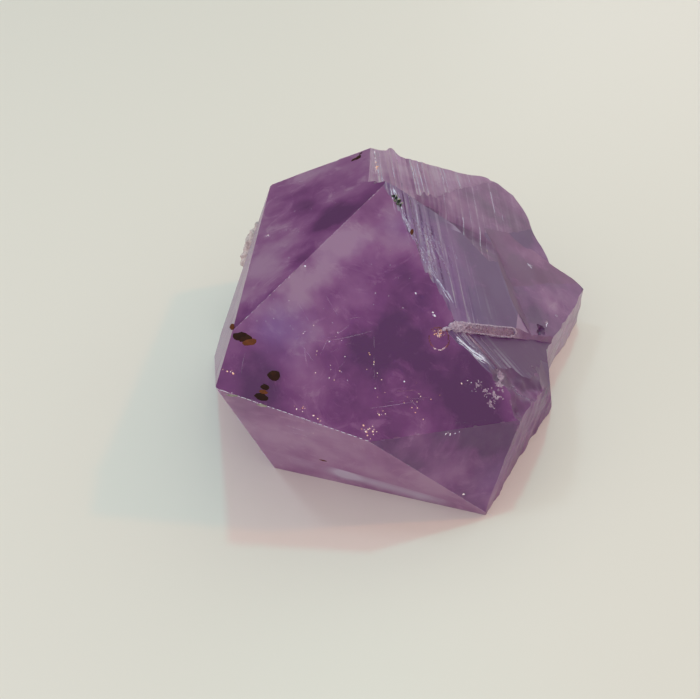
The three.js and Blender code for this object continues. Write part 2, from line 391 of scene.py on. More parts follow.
def combine(target, tool, operation="DIFFERENCE"):
    """Cuts, joins or intersects the target with the tool, which is used up."""
    step = target.modifiers.new("step", "BOOLEAN")
    step.operation = operation
    step.solver = "MANIFOLD"
    step.object = tool
    apply_step(target)
    bpy.data.meshes.remove(tool.data)
    return target


def closed_slab(name, near, far, columns, rows, flipped):
    """A grid of near points, closed by a far face as wide as its rim."""
    index = np.arange(columns * rows).reshape(columns, rows)
    squares = index[:-1, :-1], index[1:, :-1], index[1:, 1:], index[:-1, 1:]
    faces = np.stack(squares, axis=-1).reshape(-1, 4).tolist()
    rim = [index[:, 0], index[-1, 1:], index[-2::-1, -1], index[0, -2:0:-1]]
    rim = np.concatenate(rim).tolist()
    base = len(near)
    for a, b in zip(rim, rim[1:] + rim[:1]):
        faces.append((b, a, base + a, base + b))
    faces.append([base + a for a in reversed(rim)])
    if flipped:
        faces = [face[::-1] for face in faces]
    return new_object(name, np.concatenate([near, far]), faces)


GRID_MARGIN = 1.5
FINE_GRID = (0.22, 5)  # step across, and how many times longer the step along is
COARSE_GRID = (0.4, 1.2)


def grid_lines(low, high, step):
    low, high = low - GRID_MARGIN, high + GRID_MARGIN
    count = max(1, round((high - low) / step))
    return np.concatenate([[-CUTTER], np.linspace(low, high, count + 1), [CUTTER]])


def slab(name, near_side=False):
    """Everything beyond a named plane, with the break's relief on the near face. With near_side,
    everything up to a hair past it instead."""
    plane = PLANES[name]
    rough = name in ROUGH and not near_side
    us = vs = np.array([-CUTTER, CUTTER])
    if rough:
        across, along = window(name)
        step, stretch = FINE_GRID if name in GROOVED else COARSE_GRID
        us, vs = grid_lines(*across, step), grid_lines(*along, step * stretch)
    u, v = np.meshgrid(us, vs, indexing="ij")
    lift = np.full(u.shape, HAIR if near_side else 0.0)
    if rough:
        lift[1:-1, 1:-1] = relief(name, u, v, plane.place(u, v))[1:-1, 1:-1]
    near = plane.place(u, v, lift).reshape(-1, 3)
    far = plane.place(u, v, -CUTTER if near_side else CUTTER).reshape(-1, 3)
    return mark(closed_slab(name, near, far, *u.shape, near_side), name)


# ---------------------------------------------------------------- the crystal

SCALLOPS = [  # break, along it, up it, radius of the curve, bite
    ("back", -26, -9, 46, 2.6), ("back", 4, -17, 38, 3), ("back", -9, 10, 60, 1.3),
    ("back", 24, 2, 52, 1.8), ("backCorner", 4, -10, 42, 2.4), ("backCorner", -6, 4, 30, 1.2),
    ("back", -16, -16, 24, 2.2), ("back", 12, 6, 30, 1.6),
]
SCALLOP_MARGIN = 1.5  # how far it reaches past where the ball leaves the break
SCALLOP_SPOKES = 96
SCALLOP_RINGS = (8, 0.45)  # at least this many, and this far apart
SCALLOP_WAVES = (1.6, 0.16, 90), (0.6, 0.05, 95)  # width, height and seed
SCALLOP_EYE = (0.6, 0.3)  # the middle of its waves, as a share of its reach


def scallop(number, on, along, up, radius, bite):
    """A shell-shaped hollow: a great ball that dips into a break, ringed by fine waves."""
    plane = PLANES[on]
    level = unit(np.cross(plane.normal, UP))
    uphill = np.cross(level, plane.normal)
    reach = math.sqrt(2 * radius * bite) + SCALLOP_MARGIN
    fewest, apart = SCALLOP_RINGS
    rings = max(fewest, int(reach / apart))
    middle = along * level + up * uphill + plane.distance * plane.normal
    points = [(0.0, 0.0, bite)]
    for ring in range(1, rings + 1):
        distance = reach * ring / rings
        depth = bite - distance * distance / (2 * radius)
        for spoke in range(SCALLOP_SPOKES):
            angle = 2 * math.pi * spoke / SCALLOP_SPOKES
            points.append((distance * math.cos(angle), distance * math.sin(angle), depth))
    x, y, depth = np.array(points).T
    from_eye = np.hypot(x + SCALLOP_EYE[0] * reach, y + SCALLOP_EYE[1] * reach)
    depth = depth + sum(
        height * noise(from_eye / width, 0, seed + number) for width, height, seed in SCALLOP_WAVES
    )
    near = middle + np.outer(x, level) + np.outer(y, uphill) - np.outer(depth, plane.normal)
    lid = near[-SCALLOP_SPOKES:] + plane.normal * (2 * bite + 1)
    faces = [(0, 1 + s, 1 + (s + 1) % SCALLOP_SPOKES) for s in range(SCALLOP_SPOKES)]
    for ring in range(rings):
        inner, outer = (1 + number * SCALLOP_SPOKES for number in (ring, ring + 1))
        for s in range(SCALLOP_SPOKES):
            t = (s + 1) % SCALLOP_SPOKES
            faces.append((inner + s, outer + s, outer + t, inner + t))
    faces.append([outer + s for s in reversed(range(SCALLOP_SPOKES))])
    return mark(new_object("scallop", np.concatenate([near, lid]), faces), "scallop")


SHARD = (2.7, 2.1, 1.7)  # how far up each of its three edges the slope's corner broke off
SHARD_SPREAD, SHARD_HEIGHT = 1.5, 6  # how much larger the tool is than the corner it takes off


def shard():
    """The little corner that broke off where the slope, the scoop and the vein meet."""
    tip = meeting("slope", "scoop", "vein")
    ends = (
        meeting("slope", "scoop", "upperSlope"),
        meeting("slope", "vein", "broadTop"),
        meeting("scoop", "vein", "rightSide"),
    )
    base = np.array([tip + reach * unit(end - tip) for reach, end in zip(SHARD, ends)])
    middle = base.mean(axis=0)
    base = middle + SHARD_SPREAD * (base - middle)
    top = tip + SHARD_HEIGHT * (tip - middle)
    faces = [(0, 1, 2), (0, 3, 1), (1, 3, 2), (2, 3, 0)]
    if np.dot(np.cross(base[1] - base[0], base[2] - base[0]), top - middle) > 0:
        faces = [face[::-1] for face in faces]
    return mark(new_object("shard", [*base, top], faces), "shard")


BLOCK = (-48, -43, 0.0), (48, 43, 46.0)  # its lowest and its highest corner


def block():
    low, high = np.array(BLOCK)
    corners = [(x, y, z) for x in (0, 1) for y in (0, 1) for z in (0, 1)]
    points = [low + (high - low) * np.array(c) for c in corners]
    faces = [(0, 1, 3, 2), (4, 6, 7, 5), (0, 4, 5, 1), (2, 3, 7, 6), (0, 2, 6, 4), (1, 5, 7, 3)]
    return mark(new_object("amethyst_crystal", points, faces), "block")


def icosphere():
    """The corners and faces of a ball of 80 faces, with a radius of one."""
    ball = bmesh.new()
    bmesh.ops.create_icosphere(ball, subdivisions=2, radius=1)
    points = np.array([v.co for v in ball.verts])
    faces = [tuple(v.index for v in f.verts) for f in ball.faces]
    ball.free()
    return points, faces


BALL_POINTS, BALL_FACES = icosphere()


def ragged_ball(random, ragged):
    return BALL_POINTS * (1 + ragged * random.uniform(-1, 1, (len(BALL_POINTS), 1)))


def stone(centre, size, random, flatness=1.0, facing=None, ragged=0.2):
    """The corners of a small broken lump. Flatness squeezes it along the way it faces."""
    points = ragged_ball(random, ragged)
    turn, _ = np.linalg.qr(random.normal(size=(3, 3)))
    points = points @ turn
    if facing is not None:
        points = points - (1 - flatness) * np.outer(points @ facing, facing)
    return centre + size * points


def many(name, copies, form=BALL_FACES):
    """One object of many copies of a form, each with corners of its own."""
    faces = []
    for start in range(0, len(copies) * len(copies[0]), len(copies[0])):
        faces += [tuple(start + corner for corner in face) for face in form]
    return new_object(name, np.concatenate(copies), faces)


SLIVER_POINTS = 7
SLIVER_FACES = [(0, 2 * SLIVER_POINTS, SLIVER_POINTS)]
for left, right in ((0, 1), (1, 2), (2, 0)):
    for step in range(SLIVER_POINTS - 1):
        p, q = left * SLIVER_POINTS + step, right * SLIVER_POINTS + step
        SLIVER_FACES.append((p, q, q + 1, p + 1))
SLIVER_FACES.append(tuple(row * SLIVER_POINTS + SLIVER_POINTS - 1 for row in range(3)))

EDGE_WEAR = [  # the edge's two planes, the planes it ends at, bites, their size
    ("broadTop", "front", "leftSide", "frontRight", 26, 0.4),
    ("broadTop", "frontRight", "front", "shoulder", 6, 0.35),
    ("leftTop", "broadTop", "leftSide", "slope", 22, 0.3),
    ("broadTop", "slope", "leftTop", "vein", 12, 0.4),
    ("frontRight", "rightFlank", "shoulder", "rest", 14, 0.7),
    ("front", "frontRight", "broadTop", "rest", 9, 0.25),
    ("leftTop", "back", "backLeft", "crest", 9, 0.4),
    ("leftTop", "leftSide", "broadTop", "backLeft", 12, 0.25),
    ("front", "underside", "leftSide", "rest", 7, 0.3),
    ("broadTop", "shoulder", "vein", "frontRight", 12, 0.55),
    ("back", "backCorner", "crest", "rest", 8, 0.9),
    ("rightFlank", "rest", "frontRight", "rightSide", 10, 0.8),
]


def wear(crystal):
    """Small shell-like bites along the edges."""
    random = np.random.default_rng(41)
    bites = []
    for first, second, start, end, count, size in EDGE_WEAR:
        out = unit(PLANES[first].normal + PLANES[second].normal)
        start, end = meeting(first, second, start), meeting(first, second, end)
        run = unit(end - start)
        for number in range(count):
            share = (number + random.uniform(-0.2, 1.2)) / count
            reach = size * random.uniform(0.3, 1) ** 2
            place = start + share * (end - start) + out * reach * random.uniform(0.3, 0.7)
            bite = stone(place, reach, random)
            stretch = random.uniform(0.5, 2.5)
            bites.append(bite + stretch * np.outer((bite - place) @ run, run))
    for bite in bites:
        combine(crystal, mark(many("bite", [bite]), "chip"))
    return crystal


PITS = [  # face, across it, along it, size
    ("spurTop", -0.2, 14.7, 1.15), ("spurTop", -0.9, 15.0, 0.8), ("spurTop", -1.5, 13.9, 0.7),
]
PIT_LIFT = 0.35  # how far out of the face its middle is, as a share of its size


def pits(crystal):
    """A few deeper pits in the breaks."""
    random = np.random.default_rng(97)
    for face, u, v, size in PITS:
        hole = stone(on_face(face, u, v, PIT_LIFT * size), size, random)
        combine(crystal, mark(many("pit", [hole]), "pit"))
    return crystal


CUTS = [  # planes that cut together, where all of them reach; a minus keeps a plane's near side
    *TIP_FACES, *PRISM_FACES, "back", "backCorner", "rightFlank",
    "rightEnd spurBack", "rightSide spurFront", "slope -vein",
    "upperSlope ridgeNear", "upperSlope ridgeFar", "crest crestDrop",
    "lowerSlope vein", "shoulder vein", "spurTop scoop spurLedge",
]


def cut_crystal():
    crystal = block()
    for names in CUTS:
        cut, *others = [slab(name.strip("-"), near_side=name[0] == "-") for name in names.split()]
        for other in others:
            combine(cut, other, "INTERSECT")
        combine(crystal, cut)
    combine(crystal, shard())
    for number, row in enumerate(SCALLOPS):
        combine(crystal, scallop(number, *row))
    return wear(pits(crystal))


def shade(thing, angle):
    """Smooth shading that breaks at sharp edges and wherever one cut meets another."""
    mesh = thing.data
    mesh.polygons.foreach_set("use_smooth", [True] * len(mesh.polygons))
    mesh.set_sharp_from_angle(angle=math.radians(angle))
    if "cut" not in mesh.attributes:
        return thing
    edges = read(mesh.loops, "edge_index", kind=np.int32)
    cuts = np.repeat(cuts_of(thing), read(mesh.polygons, "loop_total", kind=np.int32))
    low = np.full(len(mesh.edges), len(CUT_NAMES))
    high = np.full(len(mesh.edges), -1)
    np.minimum.at(low, edges, cuts)
    np.maximum.at(high, edges, cuts)
    flags = mesh.attributes["sharp_edge"].data
    flags.foreach_set("value", read(flags, "value", kind=bool) | (low != high))
    return thing


# ---------------------------------------------------------------- how its surface looks

# For each cut three looks. Whiteness (0 glassy, 1 white and rough) is frosting, and on the pale
# grazing facets leftSide and spurFront it is painted glare. Tint (-1 bluish, 1 pink) is mostly a
# painted reflection, and on the vein it is the lining's own pink. Paleness (-1 deep, 1 pale) is
# painted light and shade: facets are paler or deeper by how they face the lights, and the step
# walls, the pit and the hollows are painted dark.
FACE_LOOKS = {
    "front": (0.02, 0.7, 1.6), "frontRight": (0.1, -0.2, -0.8), "leftTop": (0, 0.1, 1),
    "crest": (0.11, 0.35, 1.2), "upperSlope": (0.05, 0.35, -0.1), "slope": (0.03, -0.45, -1.9),
    "lowerSlope": (0, 0, -3), "shoulder": (0.05, 0.2, -1.5), "pit": (0.05, 0.2, -2.6),
    "vein": (0.12, 0.6, -0.5), "rightFlank": (0.17, -0.1, -0.3), "rightSide": (0.12, 0.1, -0.2),
    "spurFront": (0.9, 0.2, 2.5), "spurTop": (0.12, -0.1, -0.5), "spurLedge": (0.02, 0.7, -1.1),
    "scoop": (0.03, 0.3, -0.4), "shard": (0.2, -0.5, 2.2), "rightEnd": (0.12, 0.3, 0),
    "spurBack": (0.1, 0.3, 0), "back": (0.1, 0.2, 0), "backCorner": (0.1, 0.2, 0),
    "scallop": (0.06, 0.2, 0), "backLeft": (0.05, 0, 0), "rest": (0.5, 0, 0),
    "chip": (0.14, 0.3, 0.3), "leftSide": (0.7, 0, 2.2), "ridgeNear": (0.02, 0.3, -2.2),
    "ridgeFar": (0.02, 0.3, -2.2),
}
BRINK = {"leftTop": -1.0, "broadTop": 0.8}  # paler or deeper where these two faces meet
BRINK_REACH = 7.0
GLEAMS = [  # grooved break; where across it a line shines, how wide, strength: a painted highlight, and where negative a painted dark line of shade
    ("crest", [
        (-19.2, 0.28, 1), (-18.6, 0.2, 0.5), (-15.7, 0.25, 0.6), (-14.2, 0.15, 0.4),
        (-11.2, 0.25, 1), (-10.5, 0.2, 0.9), (-9.5, 0.18, 0.6), (-8.4, 0.18, 0.5),
        (-3.9, 0.3, 0.6), (-3.1, 0.15, 0.4), (0.2, 0.25, 0.5), (3.2, 0.2, 0.35),
        (4.2, 0.15, 0.3),
    ]),
    ("upperSlope", [
        (-8.4, 0.25, 0.55), (-7.8, 0.15, 0.35), (-4.1, 0.3, 0.6), (-2, 0.15, 0.25),
        (0, 0.25, 0.45), (1.6, 0.2, 0.35), (5.2, 0.25, 0.25), (7.4, 0.25, 0.2),
    ]),
    ("slope", [
        (-19, 0.35, -0.7), (-17.4, 0.45, -0.8), (-15.2, 0.35, -0.5), (-16.3, 0.4, 0.3),
        (-13.9, 0.35, 0.3), (-12.8, 0.5, -0.4),
    ]),
    ("lowerSlope", [(-15, 0.5, -1.2), (-13.2, 0.7, -1.4), (-10.4, 0.6, -0.9)]),
]
SEAMS = [  # break, the one it meets, the seam's width, what it paints there (a dark line of shade or a pale highlight), its middle along x, reach
    ("upperSlope", "ridgeNear", 2.4, (0, -0.3, -3.2), 4, 11),
    ("slope", "ridgeNear", 1.1, (0.3, -1.4, 3), 9.9, 1.7),
    ("slope", "scoop", 0.7, (0.03, -0.2, 1), 20.5, 2.5),
    ("scoop", "slope", 0.6, (0, 0.1, -3), 17.5, 1.1),
    ("scoop", "slope", 2.6, (0, 0, -2.2), 21, 2.6),
    ("crest", "upperSlope", 0.4, (0, 0.2, -0.8), 4, 30),
]
VEIN_LINING = (10, 11.5)  # where along the vein its lining thins out
VEIN_LOOK = (0.3, 0.5, 1.6)  # what the lining adds to the vein's look
SHINE = (0.5, -0.8, 1.5)  # what a line that shines adds to the look: a painted highlight


def rows_of(table):
    """The rows of a table that is grouped by face, each with its face in front."""
    return [(face, *row) for face, rows in table for row in rows]


def gleam(name, u, v):
    """How brightly the raised lines of a grooved break shine at each face: painted highlights, and
    painted dark lines of shade where the strength is negative.
    """
    total = np.zeros(len(u))
    for cut, place, width, strength in rows_of(GLEAMS):
        if cut == name:
            broken = 0.65 + 0.5 * noise(v / 2.5, place, 111)
            bend = 0.06 * noise(v / 6, place, 112)
            total += 2.4 * strength * broken * hump(u, place + bend, 0.6 * width)
    return total


def line_looks(name, places):
    """What the lines of a grooved break add to its look at each face: painted highlights along them,
    on the slopes a painted bluish reflection near the broad face's edge, and on the upper slope a
    deeper colour away from the crest.
    """
    u, v = places @ PLANES[name].across, places @ PLANES[name].along
    if name in FADES:
        fine = ramp(noise(u / 0.4, v / 9, 113), 0.2, 0.9)
        soft = ramp(noise(u / 1.0, v / 11, 116), 0.15, 0.9)
        fade = 1 - 0.6 * ramp(places[:, 0], 0, 18)
        change = np.outer(gleam(name, u, v) + fade * (0.5 * fine + 0.45 * soft), SHINE)
        if name == "upperSlope":
            change[:, 2] -= 0.7 * ramp(inside("crest", places), 1, 4)
        return change
    near_edge = 1 - ramp(inside("broadTop", places), 1, 6)
    fine = ramp(noise(u / 0.4, v / 8, 114), 0.15, 0.8)
    broad = ramp(noise(u / 0.8, v / 14, 115), 0.1, 0.8)
    shine = near_edge * (1.7 * fine + 0.3 * broad)
    shine += (0.35 + 0.65 * near_edge) * gleam(name, u, v)
    return np.outer(shine, SHINE) + np.outer(near_edge, (0, -0.7, 1.2))


def paint_looks(thing):
    """Gives each face the looks of the cut that made it: frosting with painted glare, a painted
    reflection tint, and a paleness of painted light and shade, with painted highlights along the
    lines and seams.
    """
    cuts = cuts_of(thing)
    places = read(thing.data.polygons, "center", 3)
    looks = np.array([FACE_LOOKS.get(name, (0, 0, 0)) for name in CUT_NAMES], float)[cuts]
    for name in GROOVED:
        chosen = cuts == CUT_NAMES.index(name)
        looks[chosen] += line_looks(name, places[chosen])
    for name, other, width, change, middle, reach in SEAMS:
        chosen = cuts == CUT_NAMES.index(name)
        away = np.abs(inside(other, places[chosen])) / slant(name, other)
        near = (1 - ramp(away, 0.5 * width, width)) * hump(places[chosen, 0], middle, reach)
        looks[chosen] += np.outer(near, change)
    step = cuts == CUT_NAMES.index("vein")
    lined = 1 - ramp(places[step] @ PLANES["vein"].along, *VEIN_LINING)
    looks[step] += np.outer(lined, VEIN_LOOK)
    brink = np.array([BRINK.get(name, 0) for name in CUT_NAMES], float)[cuts]
    for name, values in zip(("frost_and_painted_glare", "painted_sheen_and_tint", "tone_and_painted_shading", "brink"), (*looks.T, brink)):
        add_layer(thing, name, "FLOAT", "FACE", values.astype(np.float32))
    return thing


# ---------------------------------------------------------------- what clings to it and is in it


def melted(name, seed, skin):
    """Makes one piece of the lumps a function yields, melted together into one closed skin."""
    def wrap(lumps_of):
        def make():
            thing = many(name, list(lumps_of(np.random.default_rng(seed))))
            remesh = thing.modifiers.new("skin", "REMESH")
            remesh.mode = "VOXEL"
            remesh.voxel_size = skin
            return apply_step(thing)
        return make
    return wrap


def tinted(name, seed, form=BALL_FACES):
    """Makes one piece of the forms a function yields, each with a tint to pick its colour by."""
    def wrap(forms_of):
        def make(*given):
            forms, tints = zip(*forms_of(np.random.default_rng(seed), *given))
            values = np.repeat(np.array(tints, np.float32), len(forms[0]))
            return add_layer(many(name, forms, form), "tint", "FLOAT", "POINT", values)
        return make
    return wrap


def dress(thing, material):
    """Moves a finished piece from millimetres round the heart to the row frame in metres, and
    hands it over."""
    places = (read(thing.data.vertices, "co", 3) + HEART) * MM
    thing.data.vertices.foreach_set("co", places.ravel())
    thing.data.update()
    thing.data.materials.clear()
    thing.data.materials.append(material)
    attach(thing, BODY)
    return thing


RIND = [  # height above the table, back from the edge, out of the face, size
    (20.4, 1.8, -0.1, 1.5), (18.8, 2.2, 0.2, 2), (17.2, 2.1, 0.4, 2), (15.6, 2.4, 0.5, 1.9),
    (14.4, 1.9, 0.7, 1.6), (13.3, 2, 0.6, 1.4), (17, 5, 0.2, 2.4), (14, 5.2, 0.2, 2),
    (19.8, 6, -0.2, 2.1),
]
RIND_GRAINS = 40  # on each lump


@melted("rind_crumb", seed=7, skin=0.16)
def rind_crumb(random):
    """A crumb of the bed's rind: lumps with finer grains all over them."""
    top = meeting("leftSide", "backLeft", "leftTop")
    foot = meeting("leftSide", "backLeft", "rest")
    out_of_face = PLANES["backLeft"].normal
    backward = unit(np.cross(out_of_face, UP))
    for height, back, out, size in RIND:
        place = foot + (top - foot) * height / top[2] + backward * back + out_of_face * out
        yield stone(place, size, random, ragged=0.3)
        for _ in range(RIND_GRAINS):
            way = unit(random.normal(size=3))
            yield stone(place + way * size * 0.88, random.uniform(0.2, 0.5), random)


VEIN_BEADS = [  # along the step: from, to; down its face: from, to; how many beads; their size
    (-0.01, 0.15, -0.1, 1.1, 260, 0.24), (0.02, 0.1, 0.2, 0.8, 40, 0.36),
    (0.12, 0.63, -0.05, 0.04, 240, 0.13), (0.12, 0.62, 0.92, 1.03, 240, 0.13),
    (0.63, 0.66, 0.06, 0.3, 24, 0.12), (0.655, 0.68, 0.25, 0.75, 34, 0.12),
    (0.62, 0.66, 0.7, 0.95, 24, 0.12), (0.12, 0.5, 0.12, 0.25, 70, 0.08),
    (0.12, 0.6, 0.6, 0.75, 70, 0.08), (0.1, 0.2, 0.75, 1.3, 90, 0.14),
    (0.18, 0.3, 0.1, 0.5, 60, 0.09),
]
VEIN_GRAINS = 200


def along_vein(share, down):
    """A place on the little step: how far along it, and how far down its face."""
    lip, foot = (
        [meeting("vein", edge, end) for end in ("broadTop", "rightSide")]
        for edge in ("slope", "lowerSlope")
    )
    lip = lip[0] + share * (lip[1] - lip[0])
    foot = foot[0] + share * (foot[1] - foot[0])
    return lip + down * (foot - lip)


@tinted("vein_lining", seed=31)
def vein_lining(random):
    """The brownish grains that show between the two edges of the crust."""
    out = PLANES["vein"].normal
    for _ in range(VEIN_GRAINS):
        place = along_vein(random.uniform(0.1, 0.66), random.uniform(0.08, 0.92)) + out * 0.1
        grain = stone(place, random.uniform(0.04, 0.12), random, 0.4, out, 0.5)
        yield grain, random.uniform(0.52, 0.76)


@melted("vein_crust", seed=19, skin=0.075)
def vein_crust(random):
    """The whitish crust that lines the little step across the fracture."""
    out = PLANES["vein"].normal
    for start, end, top, low, count, size in VEIN_BEADS:
        for number in range(count):
            share = start + (end - start) * (number + random.uniform()) / count
            bead = size * random.uniform(0.5, 1.2)
            place = along_vein(share, random.uniform(top, low)) + out * 0.2 * bead
            yield stone(place, bead, random, ragged=0.4)


CRUMBS = [  # face; across it, along it, spread across and along, how many, size
    ("broadTop", [
        (-11.6, 8.2, 0.5, 0.3, 40, 0.24), (-13, 8, 0.7, 0.35, 50, 0.24),
        (-14.8, 7.2, 0.6, 0.4, 40, 0.22), (-16.4, 5.9, 0.45, 0.35, 26, 0.2),
        (-14.6, 5.2, 0.35, 0.35, 20, 0.18), (-13.3, 4.1, 0.35, 0.35, 20, 0.18),
        (-13.6, 2.4, 0.2, 0.5, 12, 0.13),
    ]),
    ("spurTop", [(2, 16.7, 0.6, 0.15, 24, 0.16), (0.6, 16.3, 0.9, 0.12, 24, 0.14)]),
]


@melted("white_crumbs", seed=23, skin=0.05)
def crumbs(random):
    """White crushed crystal where the shoulder broke away, and a few specks elsewhere."""
    for face, u, v, spread_u, spread_v, count, size in rows_of(CRUMBS):
        for _ in range(4 * count):
            across, along = u + spread_u * random.normal(), v + spread_v * random.normal()
            if noise(across / 0.4, along / 0.4, 151) < -0.1:
                continue
            bead = size * random.uniform(0.2, 0.8)
            place = on_face(face, across, along, -0.1 * bead)
            yield stone(place, bead, random, 0.3, PLANES[face].normal, 0.5)


LOOP_FACE = "broadTop"
LOOP_MIDDLE = (-5.5, -2.6)  # across the face and along it
LOOP_TALL, LOOP_WIDE = 2.1, 1.75
LOOP_GRAINS = 110
LOOP_CORE_GRAINS = 90


@tinted("loop_crack", seed=29)
def loop_crack(random):
    """A small ring-shaped crack that healed with dark and pinkish grains; the grains inside its top
    run up to pale and orange, painted sparkles.
    """
    plane = PLANES[LOOP_FACE]
    middle_u, middle_v = LOOP_MIDDLE
    for number in range(LOOP_GRAINS):
        angle = 2 * math.pi * number / LOOP_GRAINS
        if noise(angle * 1.6, 0, 141) < -0.75:
            continue
        wobble = 1 + 0.1 * noise(angle * 1.3, 0, 142) + 0.03 * random.normal()
        u = middle_u + LOOP_TALL * wobble * math.sin(angle)
        v = middle_v + LOOP_WIDE * wobble * math.cos(angle)
        bead = random.uniform(0.06, 0.14)
        grain = stone(plane.place(u, v), bead, random, 0.4, plane.normal, 0.4)
        paler = 0.5 * ramp(-math.sin(angle), 0.5, 0.95)
        yield grain, random.uniform(0.05, 0.35) + paler
    for _ in range(LOOP_CORE_GRAINS):
        u = middle_u + random.uniform(0.1, 0.85) * LOOP_TALL
        v = middle_v + 0.25 * LOOP_WIDE * random.normal()
        bead = random.uniform(0.04, 0.12)
        grain = stone(plane.place(u, v), bead, random, 0.5, plane.normal, 0.5)
        yield grain, random.uniform(0.1, 1)


FLAKES = [  # face; across it, along it, half lengths, turn, tint
    ("broadTop", [
        (-8.2, -36.5, 1.3, 0.75, 10, 0.1), (-8.5, -35.7, 1.3, 0.75, 15, 0.2),
        (-9, -34.9, 1.3, 0.7, 20, 0.42), (-6.7, -37.9, 0.55, 0.4, 70, 0.38),
        (-14.5, -30.8, 1.2, 1.1, 0, 0.12), (-14.2, -30.9, 0.7, 0.7, 30, 0.2),
        (-16.5, -32.2, 0.8, 0.55, 0, 0.1), (-17.3, -32.4, 0.75, 0.4, -10, 0.45),
        (-18.2, -32.7, 1.3, 0.65, -12, 0.08), (21.9, -10.2, 0.4, 0.3, 20, 0.76),
        (21.5, -9.7, 0.5, 0.25, 75, 0.74), (21, -9.9, 0.45, 0.3, 40, 0.86),
        (20.9, -9.2, 0.6, 0.3, 60, 0.74), (20.4, -9.4, 0.35, 0.25, 0, 0.8),
        (20.2, -8.9, 0.45, 0.2, 80, 0.75), (21.4, -9.1, 0.3, 0.2, 30, 0.98),
        (22.1, -9.6, 0.3, 0.15, 60, 0.95), (20.7, -8.6, 0.25, 0.15, 10, 1),
        (14.9, -6.9, 0.6, 0.3, 80, 0.35),
    ]),
    ("leftTop", [
        (19.8, 7.1, 1.1, 0.6, 75, 0.15), (19.6, 6.2, 0.8, 0.5, 20, 0.2),
        (21.2, 7.6, 0.5, 0.3, 30, 0.2),
    ]),
    ("front", [
        (17.3, -8.1, 0.75, 0.35, 0, 0.4), (35.2, -17.5, 0.9, 0.5, 10, 0.95),
        (36.3, -22.3, 1.2, 0.4, 20, 0.93),
    ]),
]
FLAKE_DEPTH = 0.03
FLAKE_THICKNESS = 0.09


@tinted("inclusion_flakes", seed=53)
def inclusions(random):
    """Flakes of iron oxide and a few green grains that grew into the crystal under its skin."""
    for face, u, v, length, width, turn, tint in rows_of(FLAKES):
        plane = PLANES[face]
        angle = math.radians(turn)
        long_way = math.cos(angle) * plane.along + math.sin(angle) * plane.across
        wide_way = np.cross(plane.normal, long_way)
        axes = np.array([length * long_way, width * wide_way, FLAKE_THICKNESS * plane.normal])
        yield on_face(face, u, v, -FLAKE_DEPTH) + ragged_ball(random, 0.18) @ axes, tint


GLINTS = [  # face; across, along, spread across, spread along, how many, size, tint of painted glints
    ("broadTop", [
        (-19.6, -26.5, 0.5, 1.2, 14, 0.09, 0.8), (-20.7, -23.6, 0.6, 1.3, 16, 0.1, 0.75),
        (-22.6, -15.4, 0.8, 1.6, 24, 0.1, 0.7), (-19.5, -13.4, 1.6, 0.8, 18, 0.09, 0.8),
        (-18.6, -38.4, 0.8, 1, 18, 0.09, 0.4), (-14.3, -37.8, 0.5, 0.8, 9, 0.09, 0.7),
        (-4.6, -2.4, 0.5, 0.3, 9, 0.12, 0.95), (-13.3, 1, 0.15, 0.15, 2, 0.12, 0.5),
        (-13.8, 3.4, 0.9, 1.2, 14, 0.07, 0.3), (-16, -7, 2.2, 3, 33, 0.07, 0.85),
        (-12.5, -14.5, 3, 1.5, 21, 0.07, 0.6), (-6.5, -22, 3, 4, 21, 0.06, 0.4),
        (-12, -22, 2.4, 3, 18, 0.07, 0.5), (-1.1, -3.4, 0.2, 0.2, 3, 0.16, 0.1),
        (4, -12, 8, 5, 33, 0.06, 0.2), (-4, -30, 6, 4, 24, 0.06, 0.2),
    ]),
    ("leftTop", [
        (1.7, -11.5, 0.5, 0.5, 8, 0.09, 0.2), (5, -3, 9, 4, 27, 0.06, 0.15),
        (-14, -6, 7, 3, 21, 0.06, 0.2), (14, 10.6, 4.5, 0.15, 21, 0.09, 0.3),
        (12.4, 10.9, 0.8, 0.2, 9, 0.11, 0.95),
    ]),
    ("frontRight", [
        (8.2, -5, 0.5, 1, 16, 0.09, 0.14), (10.2, -2, 0.3, 4, 27, 0.07, 0.6),
        (-4.9, -2.1, 0.15, 0.6, 12, 0.1, 0.2),
    ]),
    ("front", [(28, -12, 4, 5, 15, 0.07, 0.2)]),
    ("broadTop", [
        (-7.8, -21.9, 0.05, 0.05, 3, 0.15, 0.15), (-0.7, -3.6, 0.04, 0.04, 3, 0.13, 0.15),
        (5.6, -26.2, 0.05, 0.05, 2, 0.13, 0.15), (2.7, -6.6, 0.05, 0.05, 2, 0.13, 0.15),
        (5.5, -7.6, 0.05, 0.05, 2, 0.11, 0.15), (-13.8, -9.1, 0.05, 0.05, 2, 0.12, 0.2),
        (-14.3, -18.8, 0.05, 0.05, 2, 0.11, 0.3), (-12.9, -20, 0.12, 0.2, 4, 0.1, 0.3),
    ]),
]
GROWN = ("broadTop", "leftTop", "front", "frontRight")


@tinted("painted_crack_glints", seed=67)
def glints(random):
    """Painted glints: small bright specks that stand for light sparkling off healed cracks and tiny
    chips.
    """
    for face, u, v, spread_u, spread_v, count, size, tint in rows_of(GLINTS):
        plane = PLANES[face]
        for _ in range(count):
            place = plane.place(
                u + spread_u * random.normal() * 0.6,
                v + spread_v * random.normal() * 0.6,
                random.uniform(-0.06, 0.01),
            )
            if any(inside(other, place) < 0.1 for other in GROWN if other != face):
                continue
            reach = size * random.uniform(0.5, 1.5)
            speck = stone(place, reach, random, 0.35, plane.normal, 0.4)
            yield speck, np.clip(tint + 0.2 * random.normal(), 0.12, 1)


def sliver(middle, sideways, width, out, sunk, raised):
    """The corners of one thin tapered sliver: a row of points on each side of its ridge."""
    half = 0.5 * width * np.sin(math.pi * np.linspace(0.06, 0.94, SLIVER_POINTS)) ** 0.5
    rows = []
    for side, lift in ((-1, -sunk), (0, raised), (1, -sunk)):
        rows.append(middle + np.outer(side * half, sideways) + lift * out)
    return np.concatenate(rows)


